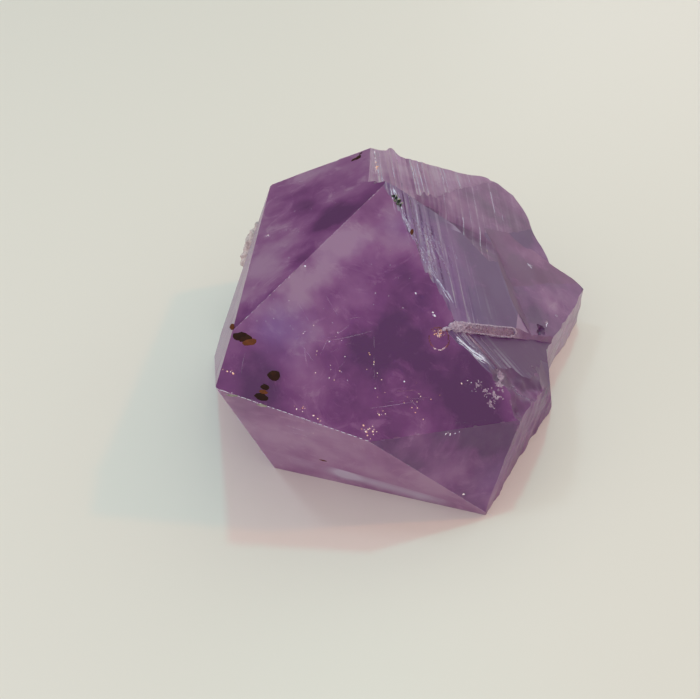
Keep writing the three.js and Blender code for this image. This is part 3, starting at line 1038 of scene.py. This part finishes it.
SCRATCHES = [  # face; start across and along, end across and along, width, tint, dashes
    ("broadTop", [
        (-7.7, -22.3, -5.2, -14.5, 0.1, 0.2, 1), (-7.6, -22.3, -10.2, -23.4, 0.08, 0.2, 1),
        (-6.4, -20.6, -4.6, -18.6, 0.1, 0.15, 1), (-5.8, -14.2, -14.7, -14.3, 0.07, 0.25, 3),
        (-18.8, -15, -17.2, -7.6, 0.1, 0.15, 1), (-17, -8.2, -18.4, -6.6, 0.08, 0.3, 1),
        (-11.5, -24.5, -8.8, -26.5, 0.07, 0.2, 1), (-9.2, -26, -12.6, -25.4, 0.07, 0.3, 1),
        (-3.6, -19, -2.8, -16.2, 0.08, 0.2, 1), (0.5, -22.5, -3, -20.5, 0.06, 0.2, 2),
        (-1, -27.5, -5, -25, 0.06, 0.15, 2), (-14.5, -36, -11, -35.6, 0.08, 0.1, 1),
        (-15.6, -10.5, -15, -6.5, 0.07, 0.7, 2), (-16.2, -9.6, -16.9, -5.2, 0.05, 0.35, 2),
        (-16.8, -8.6, -16.1, -4.6, 0.05, 0.45, 1), (-17.6, -12.4, -17, -8.8, 0.06, 0.2, 2),
        (-8.2, -24.4, -6.6, -20.8, 0.05, 0.15, 2), (-9.6, -21.6, -7.4, -17.8, 0.05, 0.25, 2),
        (-12.2, -20.2, -10.8, -19, 0.06, 0.2, 1),
    ]),
    ("leftTop", [(21, -11.5, 18.5, -4, 0.06, 0.2, 3), (6.8, 0.5, 3, 3, 0.06, 0.2, 2)]),
    ("front", [(29.5, -14, 29, -11, 0.07, 0.1, 1), (27, -12.8, 26.9, -10.4, 0.06, 0.1, 1)]),
    ("broadTop", [
        (-20.6, -2.8, -20.1, 1.6, 0.07, 0.06, 4), (-20, 2.6, -19.4, 5.2, 0.06, 0.06, 3),
        (22.6, -10.6, 18.9, -10.2, 0.14, 0.1, 1), (22, -9.2, 18.6, -8.5, 0.12, 0.1, 1),
        (20.4, -10.2, 18, -9.7, 0.12, 0.2, 1), (17, -8.6, 12.6, -7.2, 0.08, 0.1, 2),
        (13.5, -8, 9, -6.4, 0.08, 0.1, 2),
    ]),
]
EDGE_LINES = [  # face, the one it meets, the planes their edge ends at, width, tint, dashes; these pale edges are partly wear and partly painted highlight
    ("front", "underside", "leftSide", "rest", 0.12, 0.12, 7),
    ("front", "broadTop", "underside", "frontRight", 0.06, 0.14, 26),
    ("frontRight", "front", "broadTop", "rest", 0.06, 0.1, 16),
    ("leftTop", "broadTop", "leftSide", "slope", 0.04, 0.07, 30),
]


def edge_scratches():
    """The worn edges between growth faces, in the form of the scratches: pale lines, partly wear and
    partly painted edge highlight.
    """
    rows = []
    for face, other, start, end, *rest in EDGE_LINES:
        start, end = meeting(face, other, start), meeting(face, other, end)
        ways = PLANES[face].across, PLANES[face].along
        rows.append((face, *(point @ way for point in (start, end) for way in ways), *rest))
    return rows


def scratch(plane, start, end, width, random):
    """The corners of one slightly bent sliver that lies in a growth face."""
    shares = np.linspace(0, 1, SLIVER_POINTS)
    length = np.linalg.norm(end - start)
    run = (end - start) / length
    bend = 0.04 * length * random.uniform(-1, 1)
    bow = bend * np.sin(math.pi * shares) + 0.02 * random.normal(size=SLIVER_POINTS)
    middle = start + np.outer(shares * length, run) + np.outer(bow, (-run[1], run[0]))
    sideways = run[0] * plane.along - run[1] * plane.across
    return sliver(plane.place(*middle.T), sideways, width, plane.normal, 0.05, 0.012)


@tinted("hair_cracks", seed=71, form=SLIVER_FACES)
def scratches(random):
    """Fine scratches, hair cracks and worn edges of the growth faces; the pale edges are partly
    painted highlight.
    """
    for face, u0, v0, u1, v1, width, tint, dashes in rows_of(SCRATCHES) + edge_scratches():
        start, end = np.array([u0, v0]), np.array([u1, v1])
        gap = 0 if dashes == 1 else 0.3
        for dash in range(dashes):
            near = start + (end - start) * (dash + gap * random.uniform()) / dashes
            far = start + (end - start) * (dash + 1 - gap * random.uniform()) / dashes
            yield scratch(PLANES[face], near, far, width, random), tint


LINE_BANDS = [  # break; start and end (across, along), spread, lines, width, tint of the painted highlight lines
    ("lowerSlope", [
        (-17.7, 8.4, -14.9, 15, 0.35, 28, 0.2, 0.12), (-16, 10, -13.9, 17, 0.3, 9, 0.1, 0.08),
        (-3.2, 18.6, -1.6, 21.5, 0.1, 3, 0.1, 0.04),
    ]),
    ("slope", [
        (-21.4, -20, -20.2, -15.5, 0.6, 16, 0.14, 0.1),
        (-20.6, -16.5, -18.6, -11, 0.6, 16, 0.11, 0.08),
        (-20, -13.5, -18.2, -9.5, 0.15, 4, 0.16, 0.12),
        (-18.9, -12, -15.6, -4, 0.8, 18, 0.09, 0.06),
        (-15.8, -4.5, -11.7, 2.9, 0.35, 14, 0.1, 0.1),
        (-16, -15, -12.8, -3, 1.3, 30, 0.08, 0.055), (-13, -14, -10.6, -5, 1.3, 16, 0.08, 0.05),
    ]),
    ("shoulder", [(-8.7, 15.5, -7, 20.8, 0.5, 6, 0.08, 0.06)]),
    ("spurLedge", [(17.3, 12.9, 16.7, 15.3, 0.25, 8, 0.16, 0.12)]),
    ("spurTop", [
        (2.2, 16.9, 0.9, 16.3, 0.12, 8, 0.22, 0.12),
        (5.4, 20.2, 4.8, 19.5, 0.12, 4, 0.16, 0.12),
    ]),
]
LINES_PER_GLEAM = 26
FIERY_SHARE = 0.08  # the share of the ribs painted orange, as highlights of the orange lamp
PLUMB = 2.0  # from how far above its plane a break is sought


def bright_line(tree, cuts, name, start, end, width):
    """The corners of one thin painted highlight rib that lies on a grooved break, or None off it."""
    plane = PLANES[name]
    middle = []
    for share in np.linspace(0, 1, SLIVER_POINTS):
        above = Vector(plane.place(*(start + share * (end - start)), PLUMB))
        place, _, face, _ = tree.ray_cast(above, Vector(-plane.normal), 2 * PLUMB)
        if place is None or CUT_NAMES[cuts[face]] != name:
            return None
        middle.append(place)
    middle = np.array(middle)
    sideways = np.cross(plane.normal, unit(middle[-1] - middle[0]))
    return sliver(middle, sideways, width, plane.normal, 0.03, 0.05)


def wanted_lines(random):
    """The painted highlight ribs to lay: break, start, end, width and tint of each."""
    for name, u0, v0, u1, v1, spread, count, width, tint in rows_of(LINE_BANDS):
        start, end = np.array([u0, v0]), np.array([u1, v1])
        for _ in range(count):
            first = random.uniform(0, 0.75)
            last = min(1, first + random.uniform(0.12, 0.45))
            aside = np.array([spread * random.normal(), 0])
            ends = start + first * (end - start) + aside, start + last * (end - start) + aside
            yield name, *ends, width * random.uniform(0.5, 1.2), tint
    for name, across, width, strength in rows_of(GLEAMS):
        low, high = window(name)[1]
        for _ in range(round(LINES_PER_GLEAM * strength)):
            u, v = across + 0.35 * width * random.normal(), random.uniform(low, high)
            fiery = random.uniform() < FIERY_SHARE
            length = 0.7 if fiery else random.uniform(1, 5)
            tint = 0.75 if fiery else random.uniform(0.04, 0.12)
            size = random.uniform(0.25, 0.5) * width
            yield name, np.array([u, v]), np.array([u, v + length]), size, tint


@tinted("painted_highlight_lines", seed=83, form=SLIVER_FACES)
def painted_highlight_lines(random, crystal):
    """Painted highlights on the grooved breaks: thin pale ribs on the raised lines where the
    window's light catches them, and a few orange ones for the orange lamp.
    """
    tree = BVHTree.FromObject(crystal, bpy.context.evaluated_depsgraph_get())
    cuts = cuts_of(crystal)
    for *line, tint in wanted_lines(random):
        points = bright_line(tree, cuts, *line)
        if points is not None:
            yield points, tint


# ---------------------------------------------------------------- materials


class Nodes:
    """Adds nodes to a tree. A value may be a number, a colour, a place or another node's output."""

    def __init__(self, tree, place="Object"):
        self.tree = tree
        self.place = self.add("TexCoord", place, {})

    def put(self, socket, value):
        if isinstance(value, bpy.types.NodeSocket):
            self.tree.links.new(value, socket)
        elif socket.type == "RGBA":
            socket.default_value = (*value, 1)
        else:
            socket.default_value = value

    def add(self, kind, result, values, **settings):
        node = self.tree.nodes.new("ShaderNode" + kind)
        for name, value in settings.items():
            setattr(node, name, value)
        for name, value in values.items():
            self.put(node.inputs[name], value)
        return node.outputs[result]

    def math(self, operation, *values, clamp=False):
        return self.add("Math", 0, dict(enumerate(values)), operation=operation, use_clamp=clamp)

    def vector(self, operation, result, *values):
        return self.add("VectorMath", result, dict(enumerate(values)), operation=operation)

    def attribute(self, name):
        return self.add("Attribute", "Fac", {}, attribute_name=name)

    def noise(self, scale, detail, roughness, distortion=0.0):
        return self.add("TexNoise", "Fac", {
            "Vector": self.place, "Scale": scale, "Detail": detail,
            "Roughness": roughness, "Distortion": distortion,
        })

    def mix(self, share, first, second):
        values = {0: share, 6: first, 7: second}
        return self.add("Mix", 2, values, data_type="RGBA")

    def slide(self, value, start, end, first, last):
        """Moves smoothly from one strength to another while the value goes from start to end."""
        return self.add("MapRange", "Result", {
            "Value": value, "From Min": start, "From Max": end, "To Min": first, "To Max": last,
        }, interpolation_type="SMOOTHSTEP")

    def bump(self, height, distance, strength=1.0):
        values = {"Height": height, "Distance": distance, "Strength": strength}
        return self.add("Bump", "Normal", values)

    def ramp(self, value, stops):
        colour = self.add("ValToRGB", "Color", {"Fac": value})
        elements = colour.node.color_ramp.elements
        while len(elements) < len(stops):
            elements.new(0.5)
        for element, (place, stop) in zip(elements, stops):
            element.position = place
            element.color = (*stop, 1)
        return colour

    def warped(self, scale, reach):
        """The same place, pushed about softly, so that patches have no clean outline."""
        push = self.add("TexNoise", "Color", {"Vector": self.place, "Scale": scale, "Detail": 3})
        push = self.vector("SUBTRACT", 0, push, (0.5, 0.5, 0.5))
        return self.vector("MULTIPLY_ADD", 0, push, (reach, reach, reach), self.place)

    def patches(self, place, table):
        """Adds up round patches that fade out to nothing."""
        total = 0.0
        for *centre, radius, strength in table:
            middle = tuple((np.array(centre) + HEART) * MM)
            distance = self.vector("DISTANCE", "Value", place, middle)
            fall = self.slide(distance, 0, radius * PATCH_REACH * MM, strength, 0)
            total = self.math("ADD", fall, total)
        return total

    def depth_under(self, place, normal, distance):
        """How far under a plane a place is, in metres."""
        reach = float(distance + normal @ HEART) * MM
        along = self.vector("DOT_PRODUCT", "Value", place, tuple(normal))
        return self.math("SUBTRACT", reach, along)


def new_material(name):
    material = bpy.data.materials.new(name)
    material.use_nodes = True
    return material, material.node_tree.nodes["Principled BSDF"]


PATCH_REACH = 1.5  # where a patch has faded to nothing, as a share of its radius
PATCHES = [  # centre from the heart, radius, how deep (below 0) or pale the colour
    (-2, -20, 28, 8, -1.3), (-1, -12, 31, 6, -0.6), (6, -26, 23, 8, -1.35),
    (10, -30, 19, 7, -1.15), (-12, -32, 26, 5, -0.3), (-25, -30, 29, 4.5, -0.7),
    (-22, -24, 31, 7, 0.25), (-13, -14, 32, 6, 0.5), (-5, -6, 35, 5, 0.4),
    (-11, -25, 29, 4, 0.3), (-21, 17, 33, 4.5, -1), (-18.5, 9, 34.5, 4, -0.9),
    (-12.5, 4, 38, 4.5, -1.4), (-16.4, 1.5, 37, 3.5, -0.9), (-18.8, -7, 36.5, 4, -1.1),
    (-23, -15.5, 36, 3, -1.2), (-18, 23, 34, 6, 0.2), (-3, 2, 37, 6, 0.3),
    (-22.3, -16.2, 34.6, 3, 0.4), (-19, -14.5, 34.5, 3.5, 0.7), (-15.4, -9.7, 35.7, 3.5, 0.7),
    (-10.6, -4.5, 36.8, 4, 0.9), (-6.7, -1.5, 37, 3.5, 0.8), (-3.2, 1.5, 37.4, 3.5, 0.9),
    (-1.5, -2, 35.3, 3, 0.7), (0.5, -5.5, 33.4, 3, 0.4), (12, -33, 10, 5, -0.5),
    (9, -35.5, 4, 4, -1.2), (6, -34, 7, 3.5, -0.6), (27, -1, 15.5, 3, -1),
    (3, -31.5, 12, 4, 0.4), (22, -19.4, 17.2, 1.6, -3), (20.4, -20.6, 18, 1.3, -2.4),
    (23.3, -18.4, 16.6, 1.2, -2.2), (-12.5, -24, 29.3, 3.5, -1), (-3, -16.5, 29.5, 2.6, -0.9),
    (-0.5, -20, 27.2, 2.8, -0.7), (-8, -21, 29.5, 3.5, -0.4), (-9, -17, 32, 3, 0.4),
    (3, -19, 26.5, 2.5, 0.3), (30, 18, 18.5, 5, 1.8), (24, 9, 20.1, 3.5, -0.9),
    (28.8, 10.3, 17, 3, -0.9), (33, 12, 14.5, 2.5, -0.6), (30, 5, 14.5, 4, 0.6),
    (26, -12, 14.5, 3, -2), (25.5, -16.5, 14, 3, -2), (26.8, 13.5, 19.4, 3, 0.8),
]
FOOT_GLOWS = [  # centre from the heart, radius, strength of the painted glow of light through the front's thin foot
    (-19, -29, 6, 3, 0.2), (-13.5, -30.2, 5, 2.6, 0.3), (-12, -30.2, 5, 2.4, 0.8),
    (-10.6, -30.7, 4.6, 2.4, 1), (-8, -31.3, 4.2, 2.2, 0.6), (-5, -32, 3.6, 2.4, 0.75),
    (-1.5, -32.8, 3, 2.4, 0.65), (2, -33.6, 2.4, 2.4, 0.8), (5.2, -34.4, 1.8, 2.2, 0.4),
]
FOOT_GLOW_LINE = (-14.7, -30.3, 7.4), (11, -35.9, 2.6)  # across the front: the painted glow stays below it
FOOT_GLOW_EDGE = 0.3  # how softly they end at that line
PAINTED_BLUE_REFLECTIONS = [  # centre from the heart, radius, strength of painted bluish reflections and flares inside the crystal
    (-23.7, -18.5, 34, 4, 0.25), (-21.1, -23.7, 31, 4.5, 0.35), (-24.8, -21.9, 32.7, 3, 0.25),
    (-18.7, -20.8, 31.7, 4, 0.15), (15, -34, 8, 4.5, 0.4), (2.5, 2.5, 36, 4, 0.3),
    (-2, 1, 36.8, 3.5, 0.4), (-20.5, -19.5, 32.7, 4, 0.4), (-23, -21.5, 32.5, 3, 0.4),
]
CLOUD_TONES = [  # how pale the cloud, its colour
    (0.15, (0.14, 0.008, 0.17)),
    (0.45, (0.3, 0.05, 0.31)),
    (0.7, (0.46, 0.15, 0.45)),
    (1.05, (0.66, 0.38, 0.64)),
]
# the blue of painted reflections inside the crystal
PAINTED_REFLECTION_BLUE = (0.34, 0.18, 0.62)
# the bluish and the pink of the painted reflection tint; on the vein the pink is the lining's own
SHEEN_BLUE = (0.36, 0.28, 0.62)
SHEEN_PINK = (0.6, 0.33, 0.48)
# the white of frosting and of painted glare
FROST_AND_GLARE_WHITE = (0.85, 0.8, 0.87)
# the white of the painted glow along the front's foot
FOOT_GLOW_WHITE = (0.88, 0.8, 0.98)


def near_brink(nodes, place):
    """1 at the edge between the two broad faces, fading to 0 on both sides of it."""
    first, second = (
        nodes.depth_under(place, PLANES[name].normal, PLANES[name].distance) for name in BRINK
    )
    reach = float(BRINK_REACH * slant(*BRINK)) * MM
    return nodes.slide(nodes.math("MAXIMUM", first, second), 0, reach, 1, 0)


def painted_foot_glow(nodes):
    """The painted glow of light through the thin foot of the front face: a pale wedge along it."""
    start, end = np.array(FOOT_GLOW_LINE)
    down = unit(np.cross(end - start, PLANES["front"].normal))
    down = -np.sign(down[2]) * down
    above = nodes.depth_under(nodes.place, down, float(down @ start))
    edge = FOOT_GLOW_EDGE * MM
    below = nodes.slide(nodes.math("ADD", above, edge), 0, edge, 1, 0)
    return nodes.math("MULTIPLY", below, nodes.patches(nodes.place, FOOT_GLOWS), clamp=True)


def amethyst_colour(nodes, frost_and_painted_glare, mottle):
    """Purple clouds, paler and deeper in patches and by each face's painted light and shade, under
    painted bluish reflections, a painted reflection tint, frosting with painted glare and the
    painted glow along the front's foot.
    """
    blurred = nodes.warped(220, 5 * MM)
    blue_reflections = nodes.patches(nodes.warped(400, 2.5 * MM), PAINTED_BLUE_REFLECTIONS)
    wisps = nodes.math("SUBTRACT", nodes.noise(110, 7, 0.72, 3.0), 0.54, clamp=True)
    brink = nodes.math("MULTIPLY", nodes.attribute("brink"), near_brink(nodes, blurred))
    paleness = nodes.math("MULTIPLY_ADD", nodes.noise(75, 3, 0.55), 1.6, -0.54)
    for layer, weight in (
        (mottle, 0.5), (nodes.patches(blurred, PATCHES), 0.3), (nodes.attribute("tone_and_painted_shading"), 0.2),
        (blue_reflections, 0.1), (wisps, 1.7), (brink, 0.3),
    ):
        paleness = nodes.math("MULTIPLY_ADD", layer, weight, paleness)
    colour = nodes.ramp(paleness, CLOUD_TONES)
    painted_sheen_and_tint = nodes.attribute("painted_sheen_and_tint")
    for layer, weight, tint in (
        (blue_reflections, 0.5, PAINTED_REFLECTION_BLUE), (painted_sheen_and_tint, -0.35, SHEEN_BLUE), (painted_sheen_and_tint, 0.35, SHEEN_PINK),
        (frost_and_painted_glare, 0.8, FROST_AND_GLARE_WHITE),
    ):
        share = nodes.math("MULTIPLY", layer, weight, clamp=True)
        colour = nodes.mix(share, colour, tint)
    return nodes.mix(painted_foot_glow(nodes), colour, FOOT_GLOW_WHITE)


def amethyst_material():
    """Clear purple crystal: a see-through skin whose colour is cloudy, over absorption."""
    material, glass = new_material("amethyst")
    nodes = Nodes(material.node_tree)
    glass.inputs["Transmission Weight"].default_value = 0.6
    glass.inputs["IOR"].default_value = 1.544
    glass.inputs["Specular IOR Level"].default_value = 0.35
    glass.inputs["Coat Weight"].default_value = 0.2
    glass.inputs["Coat Roughness"].default_value = 0.12
    mottle = nodes.noise(260, 4, 0.6)
    patchy = nodes.math("MULTIPLY_ADD", mottle, 2.4, -0.2)
    frost_and_painted_glare = nodes.math("MULTIPLY", nodes.attribute("frost_and_painted_glare"), patchy)
    nodes.put(glass.inputs["Base Color"], amethyst_colour(nodes, frost_and_painted_glare, mottle))
    smudge = nodes.math("MULTIPLY_ADD", nodes.noise(190, 5, 0.65), 0.2, 0.3)
    nodes.put(glass.inputs["Roughness"], nodes.math("MULTIPLY_ADD", frost_and_painted_glare, 0.5, smudge))
    strength = nodes.math("MULTIPLY_ADD", frost_and_painted_glare, 0.8, 0.1)
    nodes.put(glass.inputs["Normal"], nodes.bump(nodes.noise(2600, 3, 0.6), 0.05 * MM, strength))
    clear = {"Color": (0.62, 0.35, 0.72), "Density": 30}
    absorption = nodes.add("VolumeAbsorption", "Volume", clear)
    nodes.put(material.node_tree.nodes["Material Output"].inputs["Volume"], absorption)
    return material


def stone_material(name, scale, stops, roughness, bump_height, by_tint=False, shine=0.5):
    """A rough, crumbly stone: its colour comes from a noise, or from each lump's tint."""
    material, paint = new_material(name)
    nodes = Nodes(material.node_tree)
    paint.inputs["Specular IOR Level"].default_value = shine
    speckle = pick = nodes.noise(scale, 5, 0.65)
    if by_tint:
        shift = nodes.math("MULTIPLY", nodes.math("SUBTRACT", speckle, 0.5), 0.3)
        pick = nodes.math("ADD", nodes.attribute("tint"), shift)
    nodes.put(paint.inputs["Base Color"], nodes.ramp(pick, stops))
    nodes.put(paint.inputs["Roughness"], nodes.math("MULTIPLY_ADD", speckle, 0.25, roughness))
    nodes.put(paint.inputs["Normal"], nodes.bump(speckle, bump_height * MM))
    return material


def rind_material():
    return stone_material("rind", 1500, [
        (0.3, (0.32, 0.25, 0.26)),
        (0.5, (0.52, 0.44, 0.45)),
        (0.72, (0.68, 0.61, 0.62)),
    ], 0.6, 0.2)


def vein_material():
    return stone_material("vein_crust", 2200, [
        (0.3, (0.24, 0.14, 0.26)),
        (0.5, (0.4, 0.31, 0.43)),
        (0.7, (0.62, 0.54, 0.67)),
    ], 0.3, 0.08)


def crumb_material():
    return stone_material("crushed_crystal", 1800, [
        (0.35, (0.16, 0.07, 0.16)),
        (0.5, (0.29, 0.19, 0.29)),
        (0.7, (0.53, 0.42, 0.52)),
    ], 0.35, 0.08)


def inclusion_material():
    return stone_material("inclusion", 1200, [
        (0.0, (0.012, 0.004, 0.004)),
        (0.25, (0.04, 0.012, 0.006)),
        (0.45, (0.15, 0.045, 0.016)),
        (0.6, (0.024, 0.012, 0.008)),
        (0.74, (0.015, 0.024, 0.016)),
        (0.87, (0.13, 0.14, 0.11)),
        (1.0, (0.4, 0.38, 0.33)),
    ], 0.45, 0.05, by_tint=True, shine=0.12)


def crack_material():
    return stone_material("crack_grain", 2500, [
        (0.15, (0.09, 0.012, 0.035)),
        (0.4, (0.26, 0.06, 0.1)),
        (0.65, (0.36, 0.22, 0.34)),
        # the orange stop and the pale one below it are mainly painted sparkles inside the ring crack
        (0.85, (0.85, 0.65, 0.68)),
        (0.95, (1, 0.55, 0.3)),
    ], 0.25, 0.03, by_tint=True)


# Scratches take the dim stops; the bluish white and the orange stops are painted glints and
# highlights.
def scratch_and_painted_glint_material():
    return stone_material("veil", 3000, [
        (0.0, (0.1, 0.03, 0.1)),
        (0.03, (0.34, 0.15, 0.3)),
        (0.1, (0.8, 0.83, 0.98)),
        (0.4, (0.95, 0.85, 0.9)),
        (0.75, (1, 0.7, 0.55)),
        (1.0, (1, 0.5, 0.28)),
    ], 0.1, 0.02, by_tint=True)


def floor_material():
    material, paint = new_material("pale_table")
    paint.inputs["Base Color"].default_value = (0.78, 0.757, 0.715, 1)
    paint.inputs["Roughness"].default_value = 0.45
    return material


# ---------------------------------------------------------------- camera, table, lights

VIEW_AIM = Vector(HEART + (-10.558, 6.375, 0)) * MM  # where the middle of the view meets the table
VIEW_DISTANCE = 165.1 * MM
VIEW_ELEVATION = 45
VIEW_FIELD = 50


def put_in_scene(name, data):
    thing = bpy.data.objects.new(name, data)
    bpy.context.scene.collection.objects.link(thing)
    return thing


def make_camera():
    camera = bpy.data.cameras.new("camera")
    camera.sensor_fit = "HORIZONTAL"
    camera.angle = math.radians(VIEW_FIELD)
    camera.clip_start = MM
    thing = put_in_scene("camera", camera)
    tilt = math.radians(VIEW_ELEVATION)
    thing.location = VIEW_AIM + VIEW_DISTANCE * Vector((0, -math.cos(tilt), math.sin(tilt)))
    thing.rotation_euler = (math.radians(90 - VIEW_ELEVATION), 0, 0)
    bpy.context.scene.camera = thing


TABLE_SIZE = 1.5
TABLE_GAP = 0.05 * MM  # keeps the table just clear of the resting face


def make_floor():
    ways = (-1, -1, 0), (1, -1, 0), (1, 1, 0), (-1, 1, 0)
    floor = new_object("table", TABLE_SIZE * np.array(ways), [(0, 1, 2, 3)])
    floor.location.z = -TABLE_GAP
    floor.data.materials.append(floor_material())
    floor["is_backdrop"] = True


ROOM_COLOUR = (1, 0.935, 0.9)
ROOM_LIGHT = 0.77
WALL_LIGHT = 0.2  # one wall, behind the left of the table, is darker than the room
WALL_WAY = direction(118, 10)
WALL_EDGE = (0.75, 0.96)
LAMPS = [  # name, azimuth, elevation, how far, size, watts, colour, seen through the crystal, glossy
    ("warm_right", 5, 52, 0.9, (0.04, 0.04), 0.9, (1, 0.32, 0.04), False, False),
    ("cool_back", 95, 75, 0.9, (0.05, 0.05), 0.9, (0.08, 1, 0.85), False, True),
    ("cool_left", 165, 60, 0.9, (0.1, 0.1), 0.6, (0.6, 0.88, 1), True, True),
    ("window", 52, 17, 1.2, (1.2, 0.2), 0.9, (0.85, 0.92, 1), False, True),
    ("front_fill", -155, 12, 0.9, (0.7, 0.3), 1.5, (1, 0.8, 0.8), False, True),
]


def make_lamps():
    for name, azimuth, elevation, distance, size, watts, colour, seen_through, glossy in LAMPS:
        light = bpy.data.lights.new(name, "AREA")
        light.shape = "RECTANGLE"
        light.size, light.size_y = size
        light.energy = watts
        light.color = colour
        lamp = put_in_scene(name, light)
        lamp.location = direction(azimuth, elevation) * distance
        heading = -Vector(lamp.location)
        lamp.rotation_euler = heading.to_track_quat("-Z", "Y").to_euler()
        lamp.visible_transmission = seen_through
        lamp.visible_glossy = glossy


def make_room():
    """The room is evenly bright but for its one darker wall."""
    world = bpy.data.worlds.new("room")
    world.use_nodes = True
    nodes = Nodes(world.node_tree, "Generated")
    background = world.node_tree.nodes["Background"]
    nodes.put(background.inputs["Color"], ROOM_COLOUR)
    toward = nodes.vector("DOT_PRODUCT", "Value", nodes.place, tuple(WALL_WAY))
    strength = nodes.slide(toward, *WALL_EDGE, ROOM_LIGHT, WALL_LIGHT)
    nodes.put(background.inputs["Strength"], strength)
    bpy.context.scene.world = world


def set_render():
    scene = bpy.context.scene
    scene.view_settings.view_transform = "Standard"
    scene.cycles.use_denoising = True
    scene.cycles.max_bounces = 14
    scene.cycles.transmission_bounces = 12
    scene.cycles.sample_clamp_indirect = 4


make_camera()
make_floor()
make_room()
make_lamps()
set_render()

crystal = shade(paint_looks(cut_crystal()), 28)
# pale ribs on the grooved breaks, painted highlights
ribs = painted_highlight_lines(crystal)
dress(crystal, amethyst_material())
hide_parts(CAD_NODE)
dress(shade(rind_crumb(), 50), rind_material())
dress(shade(vein_crust(), 60), vein_material())
dress(shade(crumbs(), 25), crumb_material())
dress(shade(inclusions(), 40), inclusion_material())
crack = crack_material()
dress(loop_crack(), crack)
dress(vein_lining(), crack)
# Scratches, worn edges, painted glints and painted highlight ribs share one material.
veil = scratch_and_painted_glint_material()
for piece in (glints(), scratches(), ribs):
    dress(piece, veil)

[[list(map(float, corner)) for corner in box] for box in (CAD_BOX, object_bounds())]
